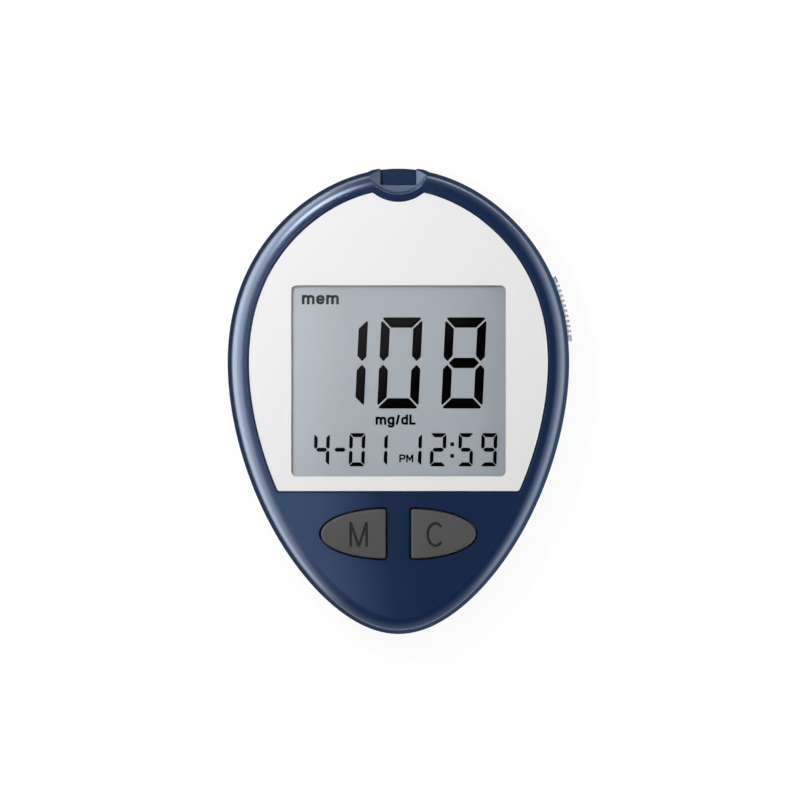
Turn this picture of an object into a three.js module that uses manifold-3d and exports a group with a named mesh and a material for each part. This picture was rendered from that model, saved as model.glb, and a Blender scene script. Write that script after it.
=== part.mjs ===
// Blood glucose meter lying on its back, in millimetres.
// +X is to the right of the display, +Y towards the strip port, +Z out of the display.
// The origin is on the resting plane, under the middle of the case.
import * as THREE from "three";
import { mergeVertices } from "three/addons/utils/BufferGeometryUtils.js";
import Module from "manifold-3d";

const wasm = await Module();
wasm.setup();

// Shared by every piece
const gap = 0.3; // running and assembly clearance between neighbours
const overrun = 2; // how far a cut passes the face that it opens
const mergeDistance = 0.0001;
const edgeBreak = 0.15; // small chamfer on an exposed edge

// Facets
const caseSteps = 72;
const roundSteps = 20;
const smallRoundSteps = 12;
const cornerSteps = 4;

// Case outline, an egg: x = half width * cos(t) * shape(sin(t)), y = half length * sin(t)
const caseLength = 88;
const sideRoom = 7.4; // from the battery bay's end to the case's side, for the wall and the slider
const eggShares = [0.984, 0.183, -0.013, -0.04, -0.071]; // powers of sin(t) in shape

// Case section
const wall = 2.2;
const floorThickness = 2;
const faceThickness = 2;
const backInset = 5; // the back curves in by this much at the resting plane
const backRise = 9;
const partingHeight = 10.5;
const partingGroove = 0.5; // depth of the shadow line where the covers meet
const creaseInset = 0.87; // the side leans in by this much up to the crease
const bandRise = 3.2;
const shoulderInset = 3.3; // the rounded shoulder ends here, at the flat face
const shoulderDegrees = 50; // slope of the shoulder at the crease
const innerChamfer = 1.6;

// Battery bay and door
const cellRadius = 5.25;
const cellLength = 44.5;
const nubRadius = 1.9;
const nubLength = 1;
const cellGap = 0.5; // between the two cells
const cellEndRoom = 5.3; // for the springs, plates and gaps along the cells
const bayMiddle = 5.2;
const bayWall = 1.2;
const bayRoof = 0.5;
const doorLift = 0.2; // the door's face above the resting plane
const doorThickness = 1.4;
const doorLap = 0.9; // how far the door's recess reaches past the bay's opening
const doorCellRoom = 0.5;
const doorPivotRadius = 1.1;
const doorPinRadius = 0.5;
const doorPinLength = 0.9;
const doorPivotLift = 1.4;
const doorBossLength = 1.9;
const doorBossHeight = 3.2;
const latchHalfWidth = 4;
const latchHeight = 2;
const latchThickness = 0.8;
const latchInset = 0.4;
const gripHalfWidth = 7;
const gripDepth = 0.4;
const gripWidth = 0.8;
const gripPitch = 1.8;
const gripCount = 4;
const notchRadius = 5; // finger notch in the back cover beside the latch
const notchDepth = 0.9;

// Board and what sits on it
const boardThickness = 1.2;
const boardInset = 5.2;
const boardFromEnd = 13; // from the case's lower end
const frontRoom = 4.2; // board to the inside of the face
const postRadius = 1.5;
const postX = 17;
const postFromEnd = 20; // from the case's lower end
const bayToParts = 2.45; // from the bay's wall to the parts under the board
const chipSize = 10;
const chipHeight = 1.4;
const chipX = -8;
const crystalLength = 6;
const crystalRadius = 1.5;
const crystalX = -1;
const buzzerRadius = 6;
const buzzerHeight = 2.2;
const buzzerHole = 1;
const buzzerHoleDepth = 0.8;
const buzzerX = 7;

// Display
const windowFromSide = 12.1; // from the case's widest place
const windowFromEnd = 29.86; // from its lower end
const windowFromTop = 22.15;
const windowCorner = 1;
const ledgeThickness = 0.5;
const ledgeLap = 0.3; // the cover's opening past the window
const lensLap = 1.1; // the lens past the window
const lensThickness = 0.9;
const lensCorner = 1.6;
const panelLap = 1.8;
const panelTopLap = 1.35;
const panelBottomLap = 3.06;
const glassThickness = 1.1;
const glassLedge = 1.9; // bare strip of the lower glass, over the rubber connector
const holderWall = 0.7;
const holderShelf = 0.6;
const connectorMargin = 3; // from the connector to the glass's side
const connectorDepth = 1.2;

// Face plate
const plateThickness = 0.8;
const plateRecess = 0.5;
const plateInset = 4.14;
const plateLap = 2.78; // the plate below the window
const plateNotchBeyond = 1.03; // the notch's centre past the case's top end
const plateNotchRadius = 7.44;

// Strip port
const scoopBeyond = 1.7; // the scoop's centre past the case's top end
const scoopRadius = 6.6;
const scoopLipDepth = 1.4; // the scoop's steep lip, above its bowl
const scoopBowlRadius = 6.4;
const scoopFloorRadius = 3.2;
const portHalfWidth = 3.4;
const portDepth = 3.21; // from the case's top end
const portLift = 1.8; // port floor above the board
const portWall = 1.6;
const stripHeight = 1;
const stripHalfWidth = 3.3;
const socketHalfWidth = 5;
const socketLength = 5;
const contactWidth = 0.5;
const contactThickness = 0.25;
const contactPlacesX = [-2.9, -1.9, 1.9, 2.9];
const contactFoot = 1;
const contactReach = 3.4;
const contactLift = 0.3;

// Buttons
const buttonFromEnd = 19.05; // from the case's lower end
const buttonInnerX = 2.4;
const buttonLength = 12.2;
const buttonHalfWidth = 4.65;
const buttonSteps = 10;
const buttonProud = 1.2;
const buttonBevel = 0.4;
const flangeWidth = 0.9;
const flangeHeight = 0.9;
const padInset = 5.7;
const padThickness = 0.6;
const domeX = 7.3;
const domeBase = 3.4;
const domeTop = 2.2;
const domeWall = 0.6;

// Ejector slider on the right flank, which runs on the circle through three outline points
const flankDegrees = [14, 28, 44];
const knobStartDegrees = 4.2;
const knobLength = 12.48; // along the flank
const knobBottom = 7.6;
const knobTop = 13.4;
const knobProud = 0.75;
const ribDepth = 0.4;
const ribCount = 10;
const ribPitch = 0.97;
const ribWidth = 0.55;
const knobWall = 0.8; // knob that lies below the case's surface
const stemStart = 3.4; // from the knob's start, along the flank
const stemLength = 2.88;
const stemInset = 1.3; // stem's height inside the knob's
const carrierClearance = 0.8;
const carrierThickness = 1.5;
const carrierStartDegrees = 5;
const carrierEndDegrees = 35;
const riserStartDegrees = 29.5;
const riserInset = 0.2; // the riser is this much thinner on each face than the carrier
const armHalfWidth = 1.4;
const armThickness = 0.8;
const armPinRoom = 6.7; // from the pusher's ear to the arm's pin
const armPinRadius = 0.75;

// Strip pusher
const pusherTravel = 3.471;
const pusherThickness = 1;
const pusherRail = 1; // material on each side of a slot
const earClearance = 1; // between an ear and the strip socket
const earRail = 0.5; // material beside a guide slot
const tongueHalfWidth = 1.2;
const noseLength = 1.2;
const noseFromSocket = 2.39;
const guideFromSocket = 3.79;
const guideToArm = 3.15;
const guidePinRadius = 0.6;
const guideHeadRadius = 1.3;
const guideHeadHeight = 0.5;

// Case screws
const topScrewX = 12;
const topScrewFromEnd = 8.6;
const lowScrewX = 8.5;
const lowScrewFromEnd = 10.2;
const screwHeadRadius = 2;
const screwHeadHeight = 1.6;
const screwHeadLift = 2.2;
const screwShankRadius = 1.1;
const screwLength = 10;
const screwDriveLength = 2.4;
const screwDriveWidth = 0.6;
const screwDriveDepth = 0.7;
const frontBossRadius = 2.4;
const backBossWall = 1;

// Battery contacts
const plateSize = 8;
const plateSheet = 0.3;
const tailWidth = 2.4;
const springWire = 0.3;
const springWide = 3.4;
const springNarrow = 2.2;
const springTurns = 4;
const springTurnSteps = 10;
const springSides = 6;

// Heights that follow
const doorInside = doorLift + doorThickness;
const cellHeight = doorInside + doorCellRoom + cellRadius;
const roofBottom = cellHeight + cellRadius + gap;
const boardBottom = roofBottom + bayRoof;
const boardTop = boardBottom + boardThickness;
const ceiling = boardTop + frontRoom;
const faceHeight = ceiling + faceThickness;
const lensSeat = ceiling + ledgeThickness;
const plateSeat = faceHeight - plateRecess;
const plateTop = plateSeat + plateThickness;
const buttonTop = faceHeight + buttonProud;
const flangeTop = ceiling - gap;
const flangeBottom = flangeTop - flangeHeight;
const padHeight = boardTop + padThickness;
const portFloor = boardTop + portLift;
const stripTop = portFloor + stripHeight;
const panelTop = ceiling - gap;
const panelBottom = panelTop - 2 * glassThickness;
const pusherBottom = boardTop + gap;
const pusherHeight = pusherBottom + pusherThickness;
const armBottom = pusherHeight + gap;
const armTop = armBottom + armThickness;
const screwSeat = screwHeadLift + screwHeadHeight;

// Places that follow
const bayHalfX = (cellLength + cellEndRoom) / 2;
const halfLength = caseLength / 2;
const halfWidth = bayHalfX + sideRoom;
const cellSpacing = 2 * cellRadius + cellGap;
const bayHalfY = cellSpacing / 2 + cellRadius + gap;
const bayLow = bayMiddle - bayHalfY;
const bayHigh = bayMiddle + bayHalfY;
const doorPivotY = bayHigh + gap;
const doorReach = doorPivotLift - doorLift; // pivot to the door's face
const doorEndY = bayLow - doorLap + gap;
const partsTop = bayLow - bayWall - bayToParts;
const windowHalfWidth = halfWidth - windowFromSide;
const windowBottom = windowFromEnd - halfLength;
const windowTop = halfLength - windowFromTop;
const plateBottom = windowBottom - plateLap;
const plateNotchY = halfLength + plateNotchBeyond;
const scoopY = halfLength + scoopBeyond;
const portInner = halfLength - portDepth;
const portInside = portInner - portWall;
const socketEnd = portInside - gap;
const socketStart = socketEnd - socketLength;
const buttonY = buttonFromEnd - halfLength;
const connectorHalfWidth = windowHalfWidth + panelLap - connectorMargin;
const guideHalf = guidePinRadius + gap; // half width of a guide slot
const earInnerX = socketHalfWidth + earClearance;
const guidePinX = earInnerX + earRail + guideHalf;
const earOuterX = guidePinX + guideHalf + earRail;
const guidePinY = socketStart - guideFromSocket;
const earEndY = guidePinY + guideHalf + pusherRail;
const armPinX = earOuterX + armPinRoom;
const armPinY = guidePinY - guideToArm;

// Colours
const navy = paint(0x2a3b63, 0.3, 0);
const silver = paint(0xe4e6e6, 0.35, 0.1);
const charcoal = paint(0x4a4a4b, 0.7, 0);
const lightGrey = paint(0xb9bec4, 0.5, 0);
const glass = paint(0xaeb6c2, 0.1, 0);
const whiteNylon = paint(0xe9e9e4, 0.6, 0);
const boardGreen = paint(0x1f6a43, 0.5, 0);
const black = paint(0x1c1c1e, 0.5, 0);
const steel = paint(0xb8bcc0, 0.3, 1);
const gold = paint(0xd8b45a, 0.3, 1);
const rubber = paint(0x6d6f72, 0.9, 0);
const cellWrap = paint(0x3a6ea5, 0.4, 0.2);

function paint(color, roughness, metalness) {
  return new THREE.MeshStandardMaterial({ color, roughness, metalness });
}

function radians(degrees) {
  return THREE.MathUtils.degToRad(degrees);
}

// Solids from three.js geometry, joined and cut, and back again
function solidOf(geometry) {
  const bare = new THREE.BufferGeometry();
  bare.setAttribute("position", geometry.getAttribute("position"));
  bare.setIndex(geometry.index);
  const merged = mergeVertices(bare, mergeDistance);
  const mesh = new wasm.Mesh({
    numProp: 3,
    vertProperties: merged.getAttribute("position").array,
    triVerts: new Uint32Array(merged.index.array),
  });
  return new wasm.Manifold(mesh);
}

function geometryOf(solid) {
  const mesh = solid.getMesh();
  const geometry = new THREE.BufferGeometry();
  geometry.setAttribute("position", new THREE.BufferAttribute(mesh.vertProperties, 3));
  geometry.setIndex(new THREE.BufferAttribute(mesh.triVerts, 1));
  geometry.computeVertexNormals();
  return geometry;
}

function join(...solids) {
  return solids.reduce((whole, solid) => whole.add(solid));
}

function cut(solid, ...tools) {
  return tools.reduce((whole, tool) => whole.subtract(tool), solid);
}

// Box between two opposite corners
function block(low, high) {
  const size = high.map((value, i) => value - low[i]);
  const middle = high.map((value, i) => (value + low[i]) / 2);
  const geometry = new THREE.BoxGeometry(...size);
  geometry.translate(...middle);
  return solidOf(geometry);
}

// Upright round bar, or a cone where the top radius differs
function rod(x, y, bottom, top, radius, topRadius = radius, steps = roundSteps) {
  const geometry = new THREE.CylinderGeometry(topRadius, radius, top - bottom, steps);
  geometry.rotateX(Math.PI / 2);
  geometry.translate(x, y, (bottom + top) / 2);
  return solidOf(geometry);
}

// Round bar along X
function barX(fromX, toX, y, z, radius, steps = roundSteps) {
  const geometry = new THREE.CylinderGeometry(radius, radius, toX - fromX, steps);
  geometry.rotateZ(Math.PI / 2);
  geometry.translate((fromX + toX) / 2, y, z);
  return solidOf(geometry);
}

// Flat outline pushed up from one height to another
function prism(shape, bottom, top, curveSegments = cornerSteps) {
  const options = { depth: top - bottom, bevelEnabled: false, curveSegments };
  const geometry = new THREE.ExtrudeGeometry(shape, options);
  geometry.translate(0, 0, bottom);
  return solidOf(geometry);
}

function roundedRectangle(left, right, bottom, top, radius) {
  const shape = new THREE.Shape();
  shape.absarc(right - radius, bottom + radius, radius, -Math.PI / 2, 0);
  shape.absarc(right - radius, top - radius, radius, 0, Math.PI / 2);
  shape.absarc(left + radius, top - radius, radius, Math.PI / 2, Math.PI);
  shape.absarc(left + radius, bottom + radius, radius, Math.PI, Math.PI * 1.5);
  return shape;
}

// Closed skin through outlines of equal point count, each at its own height, from low to high
function loft(rings) {
  const count = rings[0].outline.length;
  const positions = rings.flatMap(({ outline, z }) => outline.flatMap(([x, y]) => [x, y, z]));
  const faces = [];
  for (let ring = 0; ring < rings.length - 1; ring++) {
    for (let i = 0; i < count; i++) {
      const a = ring * count + i;
      const b = ring * count + ((i + 1) % count);
      faces.push(a, b, b + count, a, b + count, a + count);
    }
  }
  const cap = (ring) => {
    const points = rings[ring].outline.map(([x, y]) => new THREE.Vector2(x, y));
    return THREE.ShapeUtils.triangulateShape(points, []).map((face) =>
      face.map((i) => i + ring * count),
    );
  };
  cap(0).forEach(([a, b, c]) => faces.push(a, c, b));
  cap(rings.length - 1).forEach((face) => faces.push(...face));
  const geometry = new THREE.BufferGeometry();
  geometry.setAttribute("position", new THREE.Float32BufferAttribute(positions, 3));
  geometry.setIndex(faces);
  return solidOf(geometry);
}

// Point of the case's outline at an angle, moved inwards square to the outline
function eggPoint(angle, inset = 0) {
  const sine = Math.sin(angle);
  const cosine = Math.cos(angle);
  const shape = eggShares.reduce((sum, share, power) => sum + share * sine ** power, 0);
  const slope = eggShares
    .slice(1)
    .reduce((sum, share, power) => sum + (power + 1) * share * sine ** power, 0);
  const alongX = halfWidth * (cosine ** 2 * slope - sine * shape);
  const alongY = halfLength * cosine;
  const stretch = inset / Math.hypot(alongX, alongY);
  return [halfWidth * cosine * shape - alongY * stretch, halfLength * sine + alongX * stretch];
}

function eggOutline(inset) {
  return Array.from({ length: caseSteps }, (_, i) =>
    eggPoint((i / caseSteps) * 2 * Math.PI, inset),
  );
}

function eggSolid(profile) {
  return loft(profile.map(([inset, z]) => ({ outline: eggOutline(inset), z })));
}

// Section of the back cover as [inset, height] pairs: a quarter ellipse up to the side
function backProfile() {
  const steps = 5;
  const curve = Array.from({ length: steps + 1 }, (_, i) => {
    const turn = ((i / steps) * Math.PI) / 2;
    return [backInset * (1 - Math.sin(turn)), backRise * (1 - Math.cos(turn))];
  });
  const edge = partingHeight - gap / 2;
  return [...curve, [0, edge], [partingGroove, edge], [partingGroove, partingHeight]];
}

// Section of the front cover: upright side, leaning band, crease and round shoulder
function frontProfile() {
  const edge = partingHeight + gap / 2;
  const steps = 5;
  const slope = radians(shoulderDegrees);
  const radius = (shoulderInset - creaseInset) / Math.sin(slope);
  const shoulder = Array.from({ length: steps + 1 }, (_, i) => {
    const turn = slope * (1 - i / steps);
    return [shoulderInset - radius * Math.sin(turn), faceHeight - radius * (1 - Math.cos(turn))];
  });
  const bandFoot = shoulder[0][1] - bandRise;
  return [[partingGroove, partingHeight], [partingGroove, edge], [0, edge], [0, bandFoot], ...shoulder];
}

// Circle that the right flank follows, through three points of the outline
function flankCircle() {
  const [a, b, c] = flankDegrees.map((degrees) => eggPoint(radians(degrees)));
  const square = ([x, y]) => x * x + y * y;
  const twice = 2 * (a[0] * (b[1] - c[1]) + b[0] * (c[1] - a[1]) + c[0] * (a[1] - b[1]));
  const x =
    (square(a) * (b[1] - c[1]) + square(b) * (c[1] - a[1]) + square(c) * (a[1] - b[1])) / twice;
  const y =
    (square(a) * (c[0] - b[0]) + square(b) * (a[0] - c[0]) + square(c) * (b[0] - a[0])) / twice;
  return { x, y, radius: Math.hypot(a[0] - x, a[1] - y) };
}

const flank = flankCircle();

// Band of a ring about the flank circle's centre
function flankBand(inner, outer, startDegrees, endDegrees, bottom, top, steps = smallRoundSteps) {
  const shape = new THREE.Shape();
  const [start, end] = [radians(startDegrees), radians(endDegrees)];
  shape.absarc(flank.x, flank.y, outer, start, end, false);
  shape.absarc(flank.x, flank.y, inner, end, start, true);
  return prism(shape, bottom, top, steps);
}

// Degrees about the flank circle's centre that a length along the flank takes
function alongFlank(length) {
  return THREE.MathUtils.radToDeg(length / flank.radius);
}

// Turn of the ejector that moves its pin by the pusher's travel
function ejectorTravel() {
  const reach = Math.hypot(armPinX - flank.x, armPinY - flank.y);
  const start = Math.atan2(armPinY - flank.y, armPinX - flank.x);
  return THREE.MathUtils.radToDeg(Math.asin((armPinY + pusherTravel - flank.y) / reach) - start);
}

const ejectorTravelDegrees = ejectorTravel();
const gapDegrees = alongFlank(gap);
const knobEndDegrees = knobStartDegrees + alongFlank(knobLength);
const stemStartDegrees = knobStartDegrees + alongFlank(stemStart);
const stemEndDegrees = stemStartDegrees + alongFlank(stemLength);
const recessRadius = flank.radius - knobWall - gap;
const carrierOuter = flank.radius - wall - carrierClearance;
const carrierInner = carrierOuter - carrierThickness;
const armPinTurned = new THREE.Vector2(armPinX, armPinY).rotateAround(
  new THREE.Vector2(flank.x, flank.y),
  radians(ejectorTravelDegrees),
);
const stemBottom = knobBottom + stemInset;
const stemTop = knobTop - stemInset;

// Recess for the knob and the slot for its stem, cut out of both covers
function sliderCuts() {
  const recess = flankBand(
    recessRadius,
    flank.radius + overrun,
    knobStartDegrees - gapDegrees,
    knobEndDegrees + ejectorTravelDegrees + gapDegrees,
    knobBottom - gap,
    knobTop + gap,
  );
  const slot = flankBand(
    carrierOuter,
    flank.radius,
    stemStartDegrees - gapDegrees,
    stemEndDegrees + ejectorTravelDegrees + gapDegrees,
    stemBottom - gap,
    stemTop + gap,
  );
  return join(recess, slot);
}

// Case screws: places, bosses and holes
function screwPlaces() {
  const top = halfLength - topScrewFromEnd;
  const low = lowScrewFromEnd - halfLength;
  return [
    [topScrewX, top],
    [-topScrewX, top],
    [lowScrewX, low],
    [-lowScrewX, low],
  ];
}

// Button outline: flat towards the middle, half an ellipse outwards; grow moves it outwards
function buttonOutline(side, grow) {
  const length = buttonLength + 2 * grow;
  const half = buttonHalfWidth + grow;
  const upper = Array.from({ length: buttonSteps + 1 }, (_, i) => {
    const turn = ((i / buttonSteps) * Math.PI) / 2;
    return [buttonInnerX - grow + length * Math.sin(turn), half * Math.cos(turn)];
  });
  const lower = upper.slice(0, -1).map(([x, y]) => [x, -y]);
  const outline = [...lower, ...upper.reverse()];
  const placed = outline.map(([x, y]) => [side * x, y + buttonY]);
  return side > 0 ? placed : placed.reverse();
}

function buttonLevels(side, levels) {
  return loft(levels.map(([grow, z]) => ({ outline: buttonOutline(side, grow), z })));
}

// Covers
function frontCover() {
  const crown = ceiling - innerChamfer;
  const cavity = eggSolid([
    [wall, partingHeight - overrun],
    [wall, crown],
    [wall + innerChamfer, ceiling],
  ]);
  const portBlock = block(
    [-portHalfWidth - portWall, portInside, boardTop + gap],
    [portHalfWidth + portWall, halfLength - wall, ceiling],
  );
  const shell = join(cut(eggSolid(frontProfile()), cavity), portBlock);
  const bosses = screwPlaces().map(([x, y]) => rod(x, y, partingHeight, ceiling, frontBossRadius));
  const bores = screwPlaces().map(([x, y]) =>
    rod(x, y, partingHeight - overrun, screwSeat + screwLength + gap, screwShankRadius + gap),
  );
  const buttonHoles = [1, -1].map((side) =>
    buttonLevels(side, [
      [gap, ceiling - overrun],
      [gap, faceHeight + overrun],
    ]),
  );
  return cut(
    join(shell, ...bosses),
    ...bores,
    ...buttonHoles,
    plateSolid(plateInset - gap, gap, plateSeat, faceHeight + overrun),
    displayHole(lensLap + gap, lensCorner, lensSeat, faceHeight),
    displayHole(ledgeLap, windowCorner, ceiling - overrun, faceHeight),
    portCuts(),
    sliderCuts(),
  );
}

function displayHole(lap, corner, bottom, top) {
  const shape = roundedRectangle(
    -windowHalfWidth - lap,
    windowHalfWidth + lap,
    windowBottom - lap,
    windowTop + lap,
    corner,
  );
  return prism(shape, bottom, top);
}

// Finger scoop, open notch and the slot that the strip passes through
function portCuts() {
  const bowlTop = faceHeight - scoopLipDepth;
  const steps = 2 * roundSteps;
  const bowl = rod(0, scoopY, portFloor, bowlTop, scoopFloorRadius, scoopBowlRadius, steps);
  const lip = rod(0, scoopY, bowlTop, faceHeight, scoopBowlRadius, scoopRadius, steps);
  const above = rod(0, scoopY, faceHeight, faceHeight + overrun, scoopRadius, scoopRadius, steps);
  const notch = block(
    [-portHalfWidth, portInner, portFloor],
    [portHalfWidth, halfLength + overrun, faceHeight + overrun],
  );
  const slot = block(
    [-stripHalfWidth, portInside - overrun, portFloor],
    [stripHalfWidth, portInner + overrun, stripTop],
  );
  return join(bowl, lip, above, notch, slot);
}

function backCover() {
  const cavity = eggSolid([
    [wall + backInset - floorThickness, floorThickness],
    [wall + innerChamfer, floorThickness + innerChamfer],
    [wall, backRise],
    [wall, partingHeight + overrun],
  ]);
  const bay = block(
    [-bayHalfX - bayWall, bayLow - bayWall, 0],
    [bayHalfX + bayWall, bayHigh + bayWall, boardBottom],
  );
  const bossRadius = screwHeadRadius + gap + backBossWall;
  const bosses = screwPlaces().map(([x, y]) => rod(x, y, floorThickness, partingHeight, bossRadius));
  const posts = [1, -1].map((side) =>
    rod(side * postX, postFromEnd - halfLength, floorThickness / 2, boardBottom, postRadius),
  );
  const hingeBosses = [1, -1].map((side) => {
    const ends = [side * bayHalfX, side * (bayHalfX + doorLap + doorBossLength)].sort(
      (a, b) => a - b,
    );
    return block(
      [ends[0], doorPivotY - doorBossLength, floorThickness / 2],
      [ends[1], doorPivotY + doorBossLength, doorBossHeight],
    );
  });
  const shell = join(cut(eggSolid(backProfile()), cavity), bay, ...bosses, ...posts, ...hingeBosses);
  const room = block([-bayHalfX, bayLow, -overrun], [bayHalfX, bayHigh, roofBottom]);
  const doorSeat = block(
    [-bayHalfX - doorLap, doorEndY - gap, -overrun],
    [bayHalfX + doorLap, doorPivotY + doorReach + gap, doorInside + gap],
  );
  const pivotRoom = block(
    [-bayHalfX, bayHigh - overrun, -overrun],
    [bayHalfX, doorPivotY + doorReach + gap, doorPivotLift + doorPivotRadius + gap],
  );
  const pinReach = bayHalfX + doorPinLength + 2 * gap;
  const pinBore = barX(
    -pinReach - doorLap,
    pinReach + doorLap,
    doorPivotY,
    doorPivotLift,
    doorPinRadius + gap,
    smallRoundSteps,
  );
  const headBores = screwPlaces().map(([x, y]) =>
    rod(x, y, -overrun, screwSeat, screwHeadRadius + gap),
  );
  const shankBores = screwPlaces().map(([x, y]) =>
    rod(x, y, 0, partingHeight + overrun, screwShankRadius + gap, screwShankRadius + gap),
  );
  const fingerNotch = rod(0, doorEndY, -notchDepth, notchDepth, notchRadius, notchRadius / 2);
  return cut(
    shell,
    room,
    doorSeat,
    pivotRoom,
    pinBore,
    ...headBores,
    ...shankBores,
    fingerNotch,
    ...tailSlots(),
    sliderCuts(),
  );
}

// Face plate, or the recess that takes it: grow is the recess's clearance
function plateSolid(inset, grow, bottom, top, bevel = 0) {
  const outline = eggSolid([
    [inset, bottom],
    [inset, top - bevel],
    [inset + bevel, top],
  ]);
  const belowPlate = block(
    [-halfWidth, -halfLength, bottom - overrun],
    [halfWidth, plateBottom - grow, top + overrun],
  );
  const notch = rod(
    0,
    plateNotchY,
    bottom - overrun,
    top + overrun,
    plateNotchRadius - grow,
    plateNotchRadius - grow,
    2 * roundSteps,
  );
  return cut(outline, belowPlate, notch);
}

function facePlate() {
  return cut(
    plateSolid(plateInset, 0, plateSeat, plateTop, edgeBreak),
    displayHole(0, windowCorner, plateSeat - overrun, plateTop + overrun),
  );
}

function displayLens() {
  return displayHole(lensLap, lensCorner - gap, lensSeat, lensSeat + lensThickness);
}

// Display glass: two sheets, the lower one longer for its contacts
function lcdPanel() {
  const left = -windowHalfWidth - panelLap;
  const right = windowHalfWidth + panelLap;
  const low = windowBottom - panelBottomLap;
  const high = windowTop + panelTopLap;
  const middle = panelBottom + glassThickness;
  return join(
    block([left, low, panelBottom], [right, high, middle]),
    block([left, low + glassLedge, middle], [right, high, panelTop]),
  );
}

// Frame round the display glass, with a shelf under its rim
function lcdHolder() {
  const innerX = windowHalfWidth + panelLap + gap;
  const low = windowBottom - panelBottomLap - gap;
  const high = windowTop + panelTopLap + gap;
  const body = block(
    [-innerX - holderWall, low - holderWall, boardTop],
    [innerX + holderWall, high + holderWall, panelTop],
  );
  const shelfBottom = panelBottom - holderShelf;
  const pocket = block([-innerX, low, panelBottom], [innerX, high, panelTop + overrun]);
  const under = block([-innerX, low, boardTop - overrun], [innerX, high, shelfBottom]);
  const connectorRoom = block(
    [-connectorHalfWidth - gap, low + gap, shelfBottom - overrun],
    [connectorHalfWidth + gap, low + glassLedge + gap, panelBottom + overrun],
  );
  const shelfWindow = block(
    [-innerX + 2 * panelLap, low + 2 * glassLedge, shelfBottom - overrun],
    [innerX - 2 * panelLap, high - 2 * panelLap, panelBottom + overrun],
  );
  return cut(body, pocket, under, connectorRoom, shelfWindow);
}

// Striped rubber strip that joins the glass to the board
function lcdConnector() {
  const low = windowBottom - panelBottomLap + gap;
  return block(
    [-connectorHalfWidth, low, boardTop],
    [connectorHalfWidth, low + connectorDepth, panelBottom],
  );
}

// Circuit board
function mainBoard() {
  const blank = eggSolid([
    [boardInset, boardBottom],
    [boardInset, boardTop],
  ]);
  const end = block(
    [-halfWidth, -halfLength, boardBottom - overrun],
    [halfWidth, boardFromEnd - halfLength, boardTop + overrun],
  );
  const bossHoles = screwPlaces().map(([x, y]) =>
    rod(x, y, boardBottom - overrun, boardTop + overrun, frontBossRadius + gap),
  );
  return cut(blank, end, ...bossHoles);
}

function processorChip() {
  return block(
    [chipX - chipSize / 2, partsTop - chipSize, boardBottom - chipHeight],
    [chipX + chipSize / 2, partsTop, boardBottom],
  );
}

function clockCrystal() {
  const y = partsTop - crystalRadius;
  return rod(crystalX, y, boardBottom - crystalLength, boardBottom, crystalRadius);
}

function buzzerDisc() {
  const bottom = boardBottom - buzzerHeight;
  const y = partsTop - buzzerRadius;
  return cut(
    rod(buzzerX, y, bottom, boardBottom, buzzerRadius),
    rod(buzzerX, y, bottom - overrun, bottom + buzzerHoleDepth, buzzerHole),
  );
}

// Strip socket: a channel for the strip, a groove for the pusher's nose and slots for the contacts
function stripConnector() {
  const body = block(
    [-socketHalfWidth, socketStart, boardTop],
    [socketHalfWidth, socketEnd, ceiling - gap],
  );
  const channel = block(
    [-stripHalfWidth, socketStart - overrun, portFloor],
    [stripHalfWidth, socketEnd + overrun, stripTop],
  );
  const noseGroove = block(
    [-tongueHalfWidth - gap, socketStart - overrun, boardTop - overrun],
    [tongueHalfWidth + gap, socketEnd + overrun, stripTop],
  );
  const contactSlots = contactPlacesX.map((x) =>
    block(
      [x - contactWidth / 2 - contactLift / 2, socketStart - overrun, stripTop - gap],
      [x + contactWidth / 2 + contactLift / 2, socketStart + contactReach + gap, ceiling],
    ),
  );
  return cut(body, channel, noseGroove, ...contactSlots);
}

// Spring contact: foot on the board, leg up behind the socket, finger forward over the strip
function stripContact(x) {
  const legY = socketStart - gap;
  const fingerTop = stripTop + contactLift + contactThickness;
  const outline = [
    [legY - contactFoot, boardTop],
    [legY, boardTop],
    [legY, fingerTop - contactThickness],
    [socketStart + contactReach, stripTop],
    [socketStart + contactReach, stripTop + contactThickness],
    [legY, fingerTop],
    [legY - contactThickness, fingerTop],
    [legY - contactThickness, boardTop + contactThickness],
    [legY - contactFoot, boardTop + contactThickness],
  ];
  const shape = new THREE.Shape(outline.map(([y, z]) => new THREE.Vector2(y, z)));
  const geometry = new THREE.ExtrudeGeometry(shape, { depth: contactWidth, bevelEnabled: false });
  geometry.translate(0, 0, -contactWidth / 2);
  geometry.applyMatrix4(
    new THREE.Matrix4().makeBasis(
      new THREE.Vector3(0, 1, 0),
      new THREE.Vector3(0, 0, 1),
      new THREE.Vector3(1, 0, 0),
    ),
  );
  geometry.translate(x, 0, 0);
  return solidOf(geometry);
}

// Cells lie along X, the upper one with its nub to +X and the lower one to -X
function cellY(side) {
  return bayMiddle + (side * cellSpacing) / 2;
}

const nubTip = bayHalfX - plateSheet - gap;
const cellBack = nubTip - cellLength;

function cell(side) {
  const shoulder = nubTip - nubLength;
  const body = barX(...sorted(side * cellBack, side * shoulder), cellY(side), cellHeight, cellRadius);
  const nub = barX(...sorted(side * shoulder, side * nubTip), cellY(side), cellHeight, nubRadius);
  return join(body, nub);
}

function sorted(...values) {
  return values.sort((a, b) => a - b);
}

// Conical spring from its plate to the flat end of a cell
class ConeHelix extends THREE.Curve {
  constructor(fromX, toX, y, z) {
    super();
    Object.assign(this, { fromX, toX, y, z });
  }

  getPoint(share, target = new THREE.Vector3()) {
    const angle = share * springTurns * 2 * Math.PI;
    const radius = THREE.MathUtils.lerp(springWide, springNarrow, share);
    return target.set(
      THREE.MathUtils.lerp(this.fromX, this.toX, share),
      this.y + radius * Math.cos(angle),
      this.z + radius * Math.sin(angle),
    );
  }
}

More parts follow.
